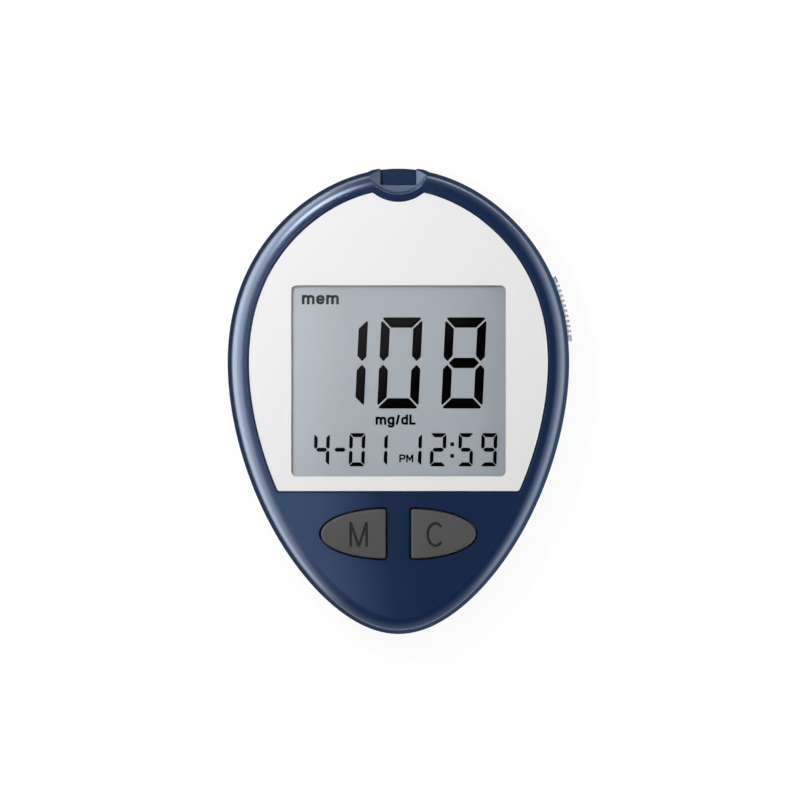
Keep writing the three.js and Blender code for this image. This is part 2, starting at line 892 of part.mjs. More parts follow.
function cellSpring(side) {
  const inset = gap + springWire;
  const extrudePath = new ConeHelix(
    side * (plateSheet + inset - bayHalfX),
    side * (cellBack - inset),
    cellY(side),
    cellHeight,
  );
  const section = new THREE.Shape();
  section.absarc(0, 0, springWire, 0, 2 * Math.PI);
  const steps = springTurns * springTurnSteps;
  const options = { steps, extrudePath, curveSegments: springSides, bevelEnabled: false };
  return solidOf(new THREE.ExtrudeGeometry(section, options));
}

// Sheet contacts in the ends of the bay, with a tail up through the bay's roof
function contactSheet(endSide, lowY, highY, tailY) {
  const [inner, outer] = sorted(endSide * bayHalfX, endSide * (bayHalfX - plateSheet));
  const half = plateSize / 2;
  return join(
    block([inner, lowY, cellHeight - half], [outer, highY, cellHeight + half]),
    block(
      [inner, tailY - tailWidth / 2, cellHeight + half - plateSheet],
      [outer, tailY + tailWidth / 2, boardBottom - gap],
    ),
  );
}

function singleContact(side) {
  const half = plateSize / 2;
  return contactSheet(-1, cellY(side) - half, cellY(side) + half, cellY(side));
}

function bridgeContact() {
  const half = plateSize / 2;
  return contactSheet(1, cellY(-1) - half, cellY(1) + half, bayMiddle);
}

function tailSlots() {
  return [
    [-1, cellY(1)],
    [-1, cellY(-1)],
    [1, bayMiddle],
  ].map(([endSide, tailY]) => {
    const [inner, outer] = sorted(endSide * bayHalfX, endSide * (bayHalfX - plateSheet - gap));
    return block(
      [inner, tailY - tailWidth / 2 - gap, roofBottom - gap],
      [outer, tailY + tailWidth / 2 + gap, boardBottom + overrun],
    );
  });
}

// Rubber keypad under the buttons
function keypadMat() {
  const sheet = eggSolid([
    [padInset, boardTop],
    [padInset, padHeight],
  ]);
  return cut(
    sheet,
    block(
      [-halfWidth, buttonY + buttonHalfWidth, boardTop - overrun],
      [halfWidth, halfLength, padHeight + overrun],
    ),
    block(
      [-halfWidth, -halfLength, boardTop - overrun],
      [halfWidth, buttonY - buttonHalfWidth, padHeight + overrun],
    ),
  );
}

function keyDome(side) {
  const inside = flangeBottom - domeWall;
  const profile = [
    [0, inside],
    [domeTop - domeWall, inside],
    [domeBase - domeWall, padHeight],
    [domeBase, padHeight],
    [domeTop, flangeBottom],
    [0, flangeBottom],
  ].map(([radius, z]) => new THREE.Vector2(radius, z));
  const geometry = new THREE.LatheGeometry(profile, roundSteps);
  geometry.rotateX(Math.PI / 2);
  geometry.translate(side * domeX, buttonY, 0);
  return solidOf(geometry);
}

function button(side) {
  return buttonLevels(side, [
    [flangeWidth, flangeBottom],
    [flangeWidth, flangeTop],
    [0, flangeTop],
    [0, buttonTop - buttonBevel],
    [-buttonBevel, buttonTop],
  ]);
}

// Ejector: ribbed knob outside, stem through the slot, curved carrier inside, arm and pin
function ribbedKnob() {
  const outer = flank.radius + knobProud;
  const base = outer - ribDepth;
  const pitch = ribPitch / flank.radius;
  const half = ribWidth / flank.radius / 2;
  const [start, end] = [radians(knobStartDegrees), radians(knobEndDegrees)];
  const firstRib = (start + end - (ribCount - 1) * pitch) / 2;
  const shape = new THREE.Shape();
  const at = (radius, angle) =>
    shape.lineTo(flank.x + radius * Math.cos(angle), flank.y + radius * Math.sin(angle));
  shape.moveTo(flank.x + outer * Math.cos(start), flank.y + outer * Math.sin(start));
  at(outer, firstRib - pitch + half);
  at(base, firstRib - pitch + half);
  for (let rib = 0; rib < ribCount; rib++) {
    const middle = firstRib + rib * pitch;
    at(base, middle - half);
    at(outer, middle - half);
    at(outer, middle + half);
    at(base, middle + half);
  }
  at(base, firstRib + ribCount * pitch - half);
  at(outer, firstRib + ribCount * pitch - half);
  at(outer, end);
  shape.absarc(flank.x, flank.y, flank.radius - knobWall, end, start, true);
  return prism(shape, knobBottom, knobTop, roundSteps);
}

function ejectorSlider() {
  const stem = flankBand(
    carrierOuter - carrierThickness / 2,
    flank.radius - knobWall / 2,
    stemStartDegrees,
    stemEndDegrees,
    stemBottom,
    stemTop,
  );
  const carrier = flankBand(
    carrierInner,
    carrierOuter,
    carrierStartDegrees,
    carrierEndDegrees,
    stemBottom - 2 * gap,
    stemTop + 2 * gap,
  );
  const riser = flankBand(
    carrierInner + riserInset,
    carrierOuter - riserInset,
    riserStartDegrees,
    carrierEndDegrees - gapDegrees,
    stemTop,
    armTop,
  );
  const pin = rod(armPinX, armPinY, pusherBottom, armTop, armPinRadius, armPinRadius, smallRoundSteps);
  return join(ribbedKnob(), stem, carrier, riser, ejectorArm(), pin);
}

// Straight bar from the riser to the pin, round at the pin's end
function ejectorArm() {
  const middle = radians((riserStartDegrees + carrierEndDegrees) / 2);
  const reach = carrierInner + carrierThickness / 2;
  const root = [flank.x + reach * Math.cos(middle), flank.y + reach * Math.sin(middle)];
  const angle = Math.atan2(armPinY - root[1], armPinX - root[0]);
  const side = [-Math.sin(angle) * armHalfWidth, Math.cos(angle) * armHalfWidth];
  const shape = new THREE.Shape();
  shape.moveTo(root[0] + side[0], root[1] + side[1]);
  shape.lineTo(root[0] - side[0], root[1] - side[1]);
  const quarter = Math.PI / 2;
  shape.absarc(armPinX, armPinY, armHalfWidth, angle - quarter, angle + quarter, false);
  return prism(shape, armBottom, armTop, smallRoundSteps);
}

// Pusher: a sliding plate with a cross slot for the ejector's pin and a nose behind the strip
function stripPusher() {
  const slotHalf = armPinRadius + gap;
  const low = armPinY - slotHalf - pusherRail;
  const high = armPinY + slotHalf + pusherRail;
  const slotLeft = armPinTurned.x - armPinRadius - 2 * gap;
  const slotRight = armPinX + armPinRadius + gap;
  const plate = block([-earOuterX, low, pusherBottom], [slotRight + pusherRail, high, pusherHeight]);
  const guideLow = guidePinY - pusherTravel - guideHalf;
  const ears = [1, -1].map((side) => {
    const [left, right] = sorted(side * earInnerX, side * earOuterX);
    return block([left, guideLow - pusherRail, pusherBottom], [right, earEndY, pusherHeight]);
  });
  const tongueEndY = socketStart - noseFromSocket;
  const tongue = block(
    [-tongueHalfWidth, low, pusherBottom],
    [tongueHalfWidth, tongueEndY, pusherHeight],
  );
  const nose = block(
    [-tongueHalfWidth, tongueEndY - noseLength, pusherBottom],
    [tongueHalfWidth, tongueEndY, stripTop - gap / 2],
  );
  const crossSlot = block(
    [slotLeft, armPinY - slotHalf, pusherBottom - overrun],
    [slotRight, armPinY + slotHalf, pusherHeight + overrun],
  );
  const guideSlots = [1, -1].map((side) =>
    block(
      [side * guidePinX - guideHalf, guideLow, pusherBottom - overrun],
      [side * guidePinX + guideHalf, guidePinY + guideHalf, pusherHeight + overrun],
    ),
  );
  return cut(join(plate, ...ears, tongue, nose), crossSlot, ...guideSlots);
}

function guidePin(side) {
  const x = side * guidePinX;
  const neck = pusherHeight + gap;
  return join(
    rod(x, guidePinY, boardTop, neck, guidePinRadius, guidePinRadius, smallRoundSteps),
    rod(x, guidePinY, neck, neck + guideHeadHeight, guideHeadRadius, guideHeadRadius, smallRoundSteps),
  );
}

// Battery door: plate, round pivot edge with two pins, latch tab and finger grips
function batteryDoor() {
  const halfX = bayHalfX + doorLap - gap;
  const plate = block([-halfX, doorEndY, doorLift], [halfX, doorPivotY, doorInside]);
  const barrelHalf = bayHalfX - gap;
  const barrel = barX(-barrelHalf, barrelHalf, doorPivotY, doorPivotLift, doorPivotRadius);
  const pinHalf = bayHalfX + doorLap + doorPinLength;
  const pins = barX(-pinHalf, pinHalf, doorPivotY, doorPivotLift, doorPinRadius, smallRoundSteps);
  const latch = block(
    [-latchHalfWidth, bayLow + latchInset, doorInside],
    [latchHalfWidth, bayLow + latchInset + latchThickness, doorInside + latchHeight],
  );
  const grips = Array.from({ length: gripCount }, (_, i) => {
    const y = doorEndY + gripPitch * (i + 1);
    return block(
      [-gripHalfWidth, y, doorLift - overrun],
      [gripHalfWidth, y + gripWidth, doorLift + gripDepth],
    );
  });
  return cut(join(plate, barrel, pins, latch), ...grips);
}

// Case screw with a cross drive
function caseScrew([x, y]) {
  const half = screwDriveWidth / 2;
  const reach = screwDriveLength / 2;
  const depth = screwHeadLift + screwDriveDepth;
  return cut(
    join(
      rod(x, y, screwHeadLift, screwSeat, screwHeadRadius),
      rod(x, y, screwSeat, screwSeat + screwLength, screwShankRadius, screwShankRadius, smallRoundSteps),
    ),
    block([x - reach, y - half, screwHeadLift - overrun], [x + reach, y + half, depth]),
    block([x - half, y - reach, screwHeadLift - overrun], [x + half, y + reach, depth]),
  );
}

function piece(name, solid, material) {
  const mesh = new THREE.Mesh(geometryOf(solid), material);
  mesh.name = name;
  return mesh;
}

function build() {
  const meter = new THREE.Group();
  meter.add(
    piece("front_cover", frontCover(), navy),
    piece("back_cover", backCover(), navy),
    piece("face_plate", facePlate(), silver),
    piece("display_lens", displayLens(), glass),
    piece("lcd_panel", lcdPanel(), glass),
    piece("lcd_holder", lcdHolder(), whiteNylon),
    piece("lcd_connector", lcdConnector(), rubber),
    piece("main_board", mainBoard(), boardGreen),
    piece("processor_chip", processorChip(), black),
    piece("clock_crystal", clockCrystal(), steel),
    piece("buzzer_disc", buzzerDisc(), black),
    piece("strip_connector", stripConnector(), black),
    piece("battery_1", cell(1), cellWrap),
    piece("battery_2", cell(-1), cellWrap),
    piece("battery_spring_1", cellSpring(1), steel),
    piece("battery_spring_2", cellSpring(-1), steel),
    piece("battery_contact_1", singleContact(1), steel),
    piece("battery_contact_2", singleContact(-1), steel),
    piece("battery_bridge", bridgeContact(), steel),
    piece("keypad_mat", keypadMat(), rubber),
    piece("memory_dome", keyDome(-1), rubber),
    piece("clear_dome", keyDome(1), rubber),
    piece("memory_button", button(-1), charcoal),
    piece("clear_button", button(1), charcoal),
    piece("ejector_slider", ejectorSlider(), lightGrey),
    piece("strip_pusher", stripPusher(), whiteNylon),
    piece("guide_pin_left", guidePin(-1), steel),
    piece("guide_pin_right", guidePin(1), steel),
    piece("battery_door", batteryDoor(), navy),
  );
  contactPlacesX.forEach((x, i) => {
    meter.add(piece(`strip_contact_${i + 1}`, stripContact(x), gold));
  });
  screwPlaces().forEach((place, i) => {
    meter.add(piece(`case_screw_${i + 1}`, caseScrew(place), steel));
  });
  return meter;
}

export default build();
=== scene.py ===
import math

import bpy
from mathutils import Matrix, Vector
from mathutils.bvhtree import BVHTree
from mathutils.interpolate import poly_3d_calc

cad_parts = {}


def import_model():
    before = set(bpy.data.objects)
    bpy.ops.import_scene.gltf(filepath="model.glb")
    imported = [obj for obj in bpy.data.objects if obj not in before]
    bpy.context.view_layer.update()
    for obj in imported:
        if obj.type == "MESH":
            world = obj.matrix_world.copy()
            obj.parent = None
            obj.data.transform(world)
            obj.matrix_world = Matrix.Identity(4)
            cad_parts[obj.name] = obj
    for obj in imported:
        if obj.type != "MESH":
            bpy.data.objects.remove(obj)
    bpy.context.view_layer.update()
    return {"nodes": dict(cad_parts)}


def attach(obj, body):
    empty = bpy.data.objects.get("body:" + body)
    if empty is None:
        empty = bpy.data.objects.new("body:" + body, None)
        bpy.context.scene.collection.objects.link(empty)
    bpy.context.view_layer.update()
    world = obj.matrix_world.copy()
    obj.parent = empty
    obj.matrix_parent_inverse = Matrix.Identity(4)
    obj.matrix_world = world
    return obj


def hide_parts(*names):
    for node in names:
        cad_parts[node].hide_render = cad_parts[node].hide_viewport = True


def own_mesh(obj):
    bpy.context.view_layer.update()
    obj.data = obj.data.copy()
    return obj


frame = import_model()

# Lengths are in millimetres, and MM turns them into metres where a mesh is made
MM = 0.001
nodes = frame["nodes"]

# Fineness
EGG_STEPS = 288
CORNER_STEPS = 6
ROUND_STEPS = 64
OVERRUN = 2.0  # how far a cutter passes the face that it opens
LIP_SLOPE = math.radians(10)  # a rounded rim meets its face at this angle
RIM = 0.2  # roundness of most rims

# Case outline, an egg: x = half width * cos(t) * shape(sin(t)), y = half length * sin(t)
HALF_LENGTH = 44.0
HALF_WIDTH = 32.3
EGG_SHARES = (0.984, 0.183, -0.013, -0.04, -0.071)

# Case section
GAP = 0.3
WALL = 2.2
FLOOR = 2.0
BACK_INSET = 5.0
BACK_RISE = 9.0
PARTING = 10.5
PARTING_GROOVE = 0.5
CREASE_INSET = 0.87
BAND_RISE = 3.2
SHOULDER_INSET = 3.3
SHOULDER_SLOPE = math.radians(50)
SHOULDER_RADIUS = (SHOULDER_INSET - CREASE_INSET) / math.sin(SHOULDER_SLOPE)
INNER_CHAMFER = 1.6

# Heights
BAY_ROOF = 12.9
BOARD_BOTTOM = 13.4
BOARD_TOP = 14.6
PORT_FLOOR = 16.4
STRIP_TOP = 17.4
CEILING = 18.8
PANEL_TOP = 18.5
LENS_SEAT = 19.3
LENS_TOP = 20.2
PLATE_SEAT = 20.3
FACE = 20.8
CREASE = FACE - SHOULDER_RADIUS * (1 - math.cos(SHOULDER_SLOPE))
PLATE_TOP = 21.1
BUTTON_TOP = 22.0
FLANGE_BOTTOM = 17.6
FLANGE_TOP = 18.5
DOME_FOOT = 15.2

# Display window and plate
WINDOW = (-20.2, 20.2, -14.14, 21.85)
WINDOW_CORNER = 1.0
LENS_LAP = 1.1
LENS_CORNER = 1.6
PLATE_INSET = 4.14
PLATE_BOTTOM = -16.92
NOTCH_Y = 45.03
PLATE_NOTCH = 7.44

# Strip port
SCOOP_Y = 45.7
SCOOP_RADIUS = 6.6
BOWL_RADIUS = 6.4
BOWL_FLOOR = 3.2
LIP_DEPTH = 1.4
PORT_HALF = 3.4
PORT_INNER = 40.79
PORT_WALL = 1.6
STRIP_HALF = 3.3

# Small horns beside the port, in plan for the right one, and their heights
HORN = ((3.4, 43.4), (5.9, 42.6), (5.75, 43.38), (5.22, 43.64), (4.61, 43.83), (3.9, 43.93), (3.4, 43.95))
HORN_LEVELS = (16.0, 16.3, 19.6)
HORN_LEAN = 1.1
HORN_Y = 42.4
HORN_X = 6.2

# Buttons
BUTTON_Y = -24.95
BUTTON_INNER = 2.4
BUTTON_LENGTH = 12.2
BUTTON_HALF = 4.65
FLANGE_WIDTH = 0.9
DOME_X = 7.3
ENGRAVING_DEPTH = 0.5
LETTER_WIDTH = 0.48
LETTER_Y = -25.1
M_X = -7.45
C_X = 7.02

# Flank circle that the ejector slider runs on
FLANK = Vector((-4.45127, 8.66363))
FLANK_RADIUS = 36.682
KNOB_START = math.radians(4.2)
KNOB_END = math.radians(23.7)
KNOB_LOW = 7.6
KNOB_HIGH = 13.4
KNOB_PROUD = 0.75
KNOB_SUNK = 0.8
TRAVEL = math.radians(11)
STEM = (math.radians(9.5), math.radians(14))
CARRIER = (math.radians(5), math.radians(35))
RISER = (math.radians(29.5), math.radians(34.53))
ARM_PIN = Vector((15.5, 26.95))
ARM_HALF = 1.4
ARM_LOW = 16.2
ARM_TOP = 17.0

# Battery bay and door
BAY = (-24.9, 24.9, -5.85, 16.25)
BAY_WALL = 1.2
CELL_RADIUS = 5.25
CELL_HEIGHT = 7.35
CELL_LENGTH = 44.5
CELL_PLACES = ((1, 10.7), (-1, -0.3))  # side of the nub, and Y
NUB_GAP = 0.6
POST = (17, -24, 1.5)  # X, Y and radius
TAIL_HALF = 1.2
CONTACT = 0.3
DOOR = (-25.5, 25.5, -6.45, 16.55)
DOOR_LOW = 0.2
DOOR_HIGH = 1.6
DOOR_CORNER = 0.8
PIVOT_Z = 1.4
BARREL_RADIUS = 1.1
PIN_RADIUS = 0.5
PIN_BORE = 0.8
PIN_LENGTH = 1.8
HINGE_BOSS = (2.8, 1.9, 3.2)  # length, half width and height
DOOR_LAP = 0.9
GRIPS = 4
GRIP_PITCH = 1.8
GRIP_WIDTH = 0.8
GRIP_HALF = 7

# Case screws
SCREWS = ((12.0, 35.4), (-12.0, 35.4), (8.5, -33.8), (-8.5, -33.8))
SCREW_SEAT = 3.8
SHANK_BORE = 1.4
BORE_END = 14.1
HEAD_BORE = 2.3
FRONT_BOSS = 2.4
BACK_BOSS = 3.3


# Outlines

def egg_point(angle, inset=0.0):
    """Point of the case's outline, moved inwards square to it."""
    sine, cosine = math.sin(angle), math.cos(angle)
    shape = sum(share * sine**power for power, share in enumerate(EGG_SHARES))
    slope = sum(power * share * sine ** (power - 1) for power, share in enumerate(EGG_SHARES) if power)
    along_x = HALF_WIDTH * (cosine**2 * slope - sine * shape)
    along_y = HALF_LENGTH * cosine
    stretch = inset / math.hypot(along_x, along_y)
    return HALF_WIDTH * cosine * shape - along_y * stretch, HALF_LENGTH * sine + along_x * stretch


def egg_outline(inset):
    return [egg_point(2 * math.pi * i / EGG_STEPS, inset) for i in range(EGG_STEPS)]


def bent(start, corner, end, steps=CORNER_STEPS):
    """Curve from start to end that leaves and arrives along the lines to corner."""
    start, corner, end = Vector(start), Vector(corner), Vector(end)
    shares = [i / steps for i in range(steps + 1)]
    return [tuple(start * (1 - s) ** 2 + corner * 2 * s * (1 - s) + end * s**2) for s in shares]


def softened(points, reaches, steps=CORNER_STEPS):
    """Points with a curve in place of each corner that has a reach. The curve goes that far both ways."""
    result = []
    for i, (point, reach) in enumerate(zip(points, reaches)):
        if not reach:
            result.append(tuple(point))
            continue
        here = Vector(point)
        before, after = Vector(points[i - 1]), Vector(points[(i + 1) % len(points)])
        start = here + (before - here).normalized() * reach
        end = here + (after - here).normalized() * reach
        result += bent(start, here, end, steps)
    return result


def arc(centre, radius, start, end, steps):
    turns = [start + (end - start) * i / steps for i in range(steps + 1)]
    return [(centre[0] + radius * math.cos(t), centre[1] + radius * math.sin(t)) for t in turns]


def rectangle(box, corner=0.0, grow=0.0):
    """Counterclockwise rectangle with round corners, moved outwards by grow."""
    left, right, low, high = box
    left, right, low, high = left - grow, right + grow, low - grow, high + grow
    points = [(left, low), (right, low), (right, high), (left, high)]
    radius = corner + grow
    if radius <= 0:
        return points
    middles = [
        (left + radius, low + radius),
        (right - radius, low + radius),
        (right - radius, high - radius),
        (left + radius, high - radius),
    ]
    quarter = math.pi / 2
    return [
        point
        for i, middle in enumerate(middles)
        for point in arc(middle, radius, math.pi + i * quarter, math.pi + (i + 1) * quarter, CORNER_STEPS)
    ]


def grown(outline, distance):
    """Counterclockwise outline with each point moved outwards."""
    points = [Vector(p) for p in outline]
    result = []
    for i, point in enumerate(points):
        along = (points[(i + 1) % len(points)] - points[i - 1]).normalized()
        result.append(tuple(point + Vector((along.y, -along.x)) * distance))
    return result


def circle(x, y, radius, steps=ROUND_STEPS):
    return arc((x, y), radius, 0, 2 * math.pi, steps)[:-1]


def solved(test, low, high):
    """Angle between low and high where test turns from false to true."""
    for _ in range(50):
        middle = (low + high) / 2
        low, high = (low, middle) if test(middle) else (middle, high)
    return high


def plate_outline(grow):
    """Egg cut straight below the window and round above it, at the port."""
    corner = 0.35
    inset = PLATE_INSET - grow
    bottom = PLATE_BOTTOM - grow
    notch = PLATE_NOTCH - grow
    first = solved(lambda t: egg_point(t, inset)[1] > bottom, -1.4, 0.0)
    last = solved(lambda t: math.dist(egg_point(t, inset), (0, NOTCH_Y)) < notch, 0.8, 1.57)
    step = corner / 40
    side = [egg_point(first + step + (last - first - 2 * step) * i / 120, inset) for i in range(121)]
    low_corner = egg_point(first, inset)
    high_corner = egg_point(last, inset)
    bend = math.atan2(high_corner[1] - NOTCH_Y, high_corner[0])
    rim = arc((0, NOTCH_Y), notch, bend - corner / notch, -math.pi / 2, 30)
    start = (low_corner[0] - corner, low_corner[1])
    right = bent(start, low_corner, side[0]) + side[1:-1] + bent(side[-1], high_corner, rim[0]) + rim[1:]
    left = [(-x, y) for x, y in reversed(right[:-1])]
    return right + left


def button_outline(side, grow):
    """Flat towards the middle, half an ellipse outwards."""
    flat = BUTTON_INNER - grow
    length = BUTTON_LENGTH + 2 * grow
    half = BUTTON_HALF + grow
    corner = min(0.45, half / 4)
    inset = corner / length
    turns = [-math.pi / 2 + inset + (math.pi - 2 * inset) * i / 96 for i in range(97)]
    nose = [(flat + length * math.cos(t), half * math.sin(t)) for t in turns]
    low = bent((flat, corner - half), (flat, -half), nose[0])
    high = bent(nose[-1], (flat, half), (flat, half - corner))
    outline = [(side * x, y + BUTTON_Y) for x, y in low + nose[1:-1] + high]
    return outline if side > 0 else outline[::-1]


# Solids

def solid(name, vertices, faces):
    mesh = bpy.data.meshes.new(name)
    mesh.from_pydata([Vector(v) * MM for v in vertices], [], faces)
    return linked(name, mesh)


def linked(name, data):
    piece = bpy.data.objects.new(name, data)
    bpy.context.collection.objects.link(piece)
    return piece


def discarded(piece):
    mesh = piece.data
    bpy.data.objects.remove(piece)
    bpy.data.meshes.remove(mesh)


def closed(count, levels, start=0):
    """Faces of a closed skin through some levels of count points each."""
    faces = []
    for ring in range(levels - 1):
        for i in range(count):
            a = start + ring * count + i
            b = start + ring * count + (i + 1) % count
            faces.append((a, b, b + count, a + count))
    top = start + (levels - 1) * count
    return faces + [tuple(reversed(range(start, start + count))), tuple(range(top, top + count))]


def skin(name, rings):
    """Closed skin through rings of 3-D points, counterclockwise seen from the last ring's side."""
    return solid(name, [point for ring in rings for point in ring], closed(len(rings[0]), len(rings)))


def loft(name, levels):
    """Closed skin through outlines, each at its own height, from low to high."""
    return skin(name, [[(x, y, z) for x, y in outline] for outline, z in levels])


def prism(name, outline, bottom, top):
    return loft(name, [(outline, bottom), (outline, top)])


def block(name, low, high):
    return prism(name, rectangle((low[0], high[0], low[1], high[1])), low[2], high[2])


def rod(name, x, y, bottom, top, radius):
    return prism(name, circle(x, y, radius), bottom, top)


def turned(name, place, profile, axis="z", steps=ROUND_STEPS):
    """Solid of revolution about an axis through place. profile is (radius, along) pairs, from low to high."""
    x, y, z = place
    rings = []
    for radius, along in profile:
        points = circle(0, 0, radius, steps)
        if axis == "z":
            rings.append([(x + a, y + b, z + along) for a, b in points])
        else:
            rings.append([(x + along, y + a, z + b) for a, b in points])
    return skin(name, rings)


def lip(inner, face, radius, reach=OVERRUN):
    """(grow, height) pairs of a cutter whose rim is rounded where it opens at a face."""
    way = 1 if face > inner else -1
    points = [
        (0, inner),
        (0, face),
        (reach * math.cos(LIP_SLOPE), face + way * reach * math.sin(LIP_SLOPE)),
        (reach * math.cos(LIP_SLOPE), face + way * OVERRUN),
    ]
    pairs = softened(points, (0, radius, 0, 0))
    return pairs if way > 0 else pairs[::-1]


def opening(name, outline, inner, face, radius, reach=OVERRUN):
    """Cutter with a rounded rim. outline(grow) gives the opening moved outwards."""
    return loft(name, [(outline(grow), z) for grow, z in lip(inner, face, radius, reach)])


def rounded_top(name, outline, bottom, top, radius):
    """Upright solid whose upper edge is rounded. outline(grow) gives it moved outwards."""
    pairs = softened([(0, bottom), (0, top), (-4 * radius, top)], (0, radius, 0))[:-1]
    return loft(name, [(outline(grow), z) for grow, z in pairs])


def combined(piece, tools, operation="DIFFERENCE"):
    """piece with every tool cut out of it or joined to it. The tools are used up."""
    for tool in tools:
        step = piece.modifiers.new("combine", "BOOLEAN")
        step.operation = operation
        step.solver = "MANIFOLD"
        step.object = tool
    settled(piece)
    for tool in tools:
        discarded(tool)
    return piece


def settled(piece):
    """Makes the result of the modifiers the piece's own mesh."""
    depsgraph = bpy.context.evaluated_depsgraph_get()
    mesh = bpy.data.meshes.new_from_object(piece.evaluated_get(depsgraph))
    mesh.materials.clear()
    old = piece.data
    piece.modifiers.clear()
    piece.data = mesh
    mesh.name = piece.name
    bpy.data.meshes.remove(old)


def smoothed(piece, degrees=35):
    piece.data.shade_smooth()
    piece.data.set_sharp_from_angle(angle=math.radians(degrees))
    piece.modifiers.new("weights", "WEIGHTED_NORMAL").keep_sharp = True


def evened(piece, shell):
    """Shades the faces of piece that lie on shell as evenly as shell itself, and uses shell up."""
    smoothed(shell)
    smoothed(piece)
    settled(shell)
    settled(piece)
    clean, mesh = shell.data, piece.data
    corners = [v.co.copy() for v in clean.vertices]
    ways = [Vector(n.vector) for n in clean.corner_normals]
    tree = BVHTree.FromPolygons(corners, [tuple(face.vertices) for face in clean.polygons])
    normals = [Vector(n.vector) for n in mesh.corner_normals]
    for face in mesh.polygons:
        centre = Vector(face.center)
        _, way, _, distance = tree.find_nearest(centre)
        if distance > 0.03 * MM or way.dot(face.normal) < 0.94:
            continue
        for loop in face.loop_indices:
            corner = mesh.vertices[mesh.loops[loop].vertex_index].co
            point = corner.lerp(centre, 0.02)
            place, _, index, _ = tree.find_nearest(point)
            near = clean.polygons[index]
            shares = poly_3d_calc([corners[i] for i in near.vertices], place)
            way = sum((ways[i] * share for i, share in zip(near.loop_indices, shares)), Vector())
            normals[loop] = way.normalized()
    mesh.normals_split_custom_set(normals)
    discarded(shell)


def painted(piece, finishes, chosen):
    """Gives a piece its finishes, and each of its faces the one that chosen(face) names."""
    for finish in finishes:
        piece.data.materials.append(finish)
    for face in piece.data.polygons:
        face.material_index = finishes.index(chosen(face))


def dressed(piece, finish, body, slot, *replaced):
    """Gives a new piece its finish, unless it is painted, and its body, and hides the nodes it stands for.
    The slot argument is not used.
    """
    if not piece.data.materials:
        piece.data.materials.append(finish)
    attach(piece, body)
    if replaced:
        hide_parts(*replaced)


# Materials

GRAIN = 3600.0
CLOUDS = 75.0
BLUE_SHINE = {"Specular Tint": (0.69, 0.81, 1, 1)}


def feed(tree, socket, value):
    """Gives a socket a value, or links it to the output that feeds it."""
    if isinstance(value, bpy.types.NodeSocket):
        tree.links.new(value, socket)
    else:
        socket.default_value = value


def added(tree, kind, inputs={}, operation=None):
    """New shader node. inputs names its sockets, each with a value or with the output that feeds it."""
    made = tree.nodes.new("ShaderNode" + kind)
    if kind == "Mix":
        made.data_type = "RGBA"
    if operation:
        made.operation = operation
    for socket, value in inputs.items():
        feed(tree, made.inputs[socket], value)
    return made


def plain(name):
    """New material and its node tree."""
    made = bpy.data.materials.new(name)
    made.use_nodes = True
    return made, made.node_tree


def shade(tree, inputs):
    """Sets inputs of a material's shader."""
    for socket, value in inputs.items():
        feed(tree, tree.nodes["Principled BSDF"].inputs[socket], value)


def ramp(tree, value, stops):
    """Colour that changes with value, through stops of (value, colour)."""
    made = added(tree, "ValToRGB", {"Fac": value})
    elements = made.color_ramp.elements
    for share, _ in stops[1:-1]:
        elements.new(share)
    for element, (share, colour) in zip(elements, stops):
        element.position = share
        element.color = (*colour, 1)
    return made.outputs["Color"]


def material(name, colour, roughness, metallic=0.0, specular=0.5, bump=0.02, tone=0.05, others={}):
    """Procedural finish: uneven tone and roughness, and a fine moulded grain."""
    made, tree = plain(name)
    place = added(tree, "TexCoord").outputs["Object"]
    cloud = added(tree, "TexNoise", {"Scale": CLOUDS, "Detail": 4, "Vector": place}).outputs["Fac"]
    dark = (*[c * (1 - tone) for c in colour], 1)
    light = (*[min(c * (1 + tone), 1) for c in colour], 1)
    uneven = added(tree, "Mix", {"A": dark, "B": light, "Factor": cloud})
    rough = added(tree, "MapRange", {"To Min": roughness * 0.85, "To Max": roughness * 1.15, "Value": cloud})
    fine = added(tree, "TexNoise", {"Scale": GRAIN, "Detail": 2, "Vector": place})
    relief = added(tree, "Bump", {"Strength": bump, "Distance": 0.0002, "Height": fine.outputs["Fac"]})
    inputs = {
        "Base Color": uneven.outputs["Result"],
        "Roughness": rough.outputs["Result"],
        "Normal": relief.outputs["Normal"],
        "Metallic": metallic,
        "Specular IOR Level": specular,
    }
    shade(tree, {**inputs, **others})
    return made


shine = {"IOR": 1.62, **BLUE_SHINE}
navy = material("navy", (0.005, 0.018, 0.06), 0.23, specular=1.0, bump=0.01, others=shine)
navy_band = material("navy_band", (0.033, 0.056, 0.114), 0.5, specular=0.0)
navy_low = material("navy_low", (0.011, 0.028, 0.078), 0.4, specular=0.4, bump=0.01)
navy_port = material("navy_port", (0.011, 0.028, 0.078), 0.33, specular=0.8, bump=0.01, others=BLUE_SHINE)
navy_face = material("navy_face", (0.006, 0.0195, 0.06), 0.3, specular=0.15, bump=0.01)
silver = material("silver", (0.79, 0.791, 0.791), 0.5, specular=0.15, bump=0.03, tone=0.01)
charcoal = material("charcoal", (0.061, 0.061, 0.06), 0.6, specular=0.3, bump=0.05)
# Painted shade: near-black for the floor of a button's engraved letter, where shade falls in the groove.
engraving_shade_grey = material("engraving_shade_grey", (0.03, 0.03, 0.03), 0.6, specular=0.1)
knob_grey = material("knob_grey", (0.8, 0.82, 0.86), 0.45)
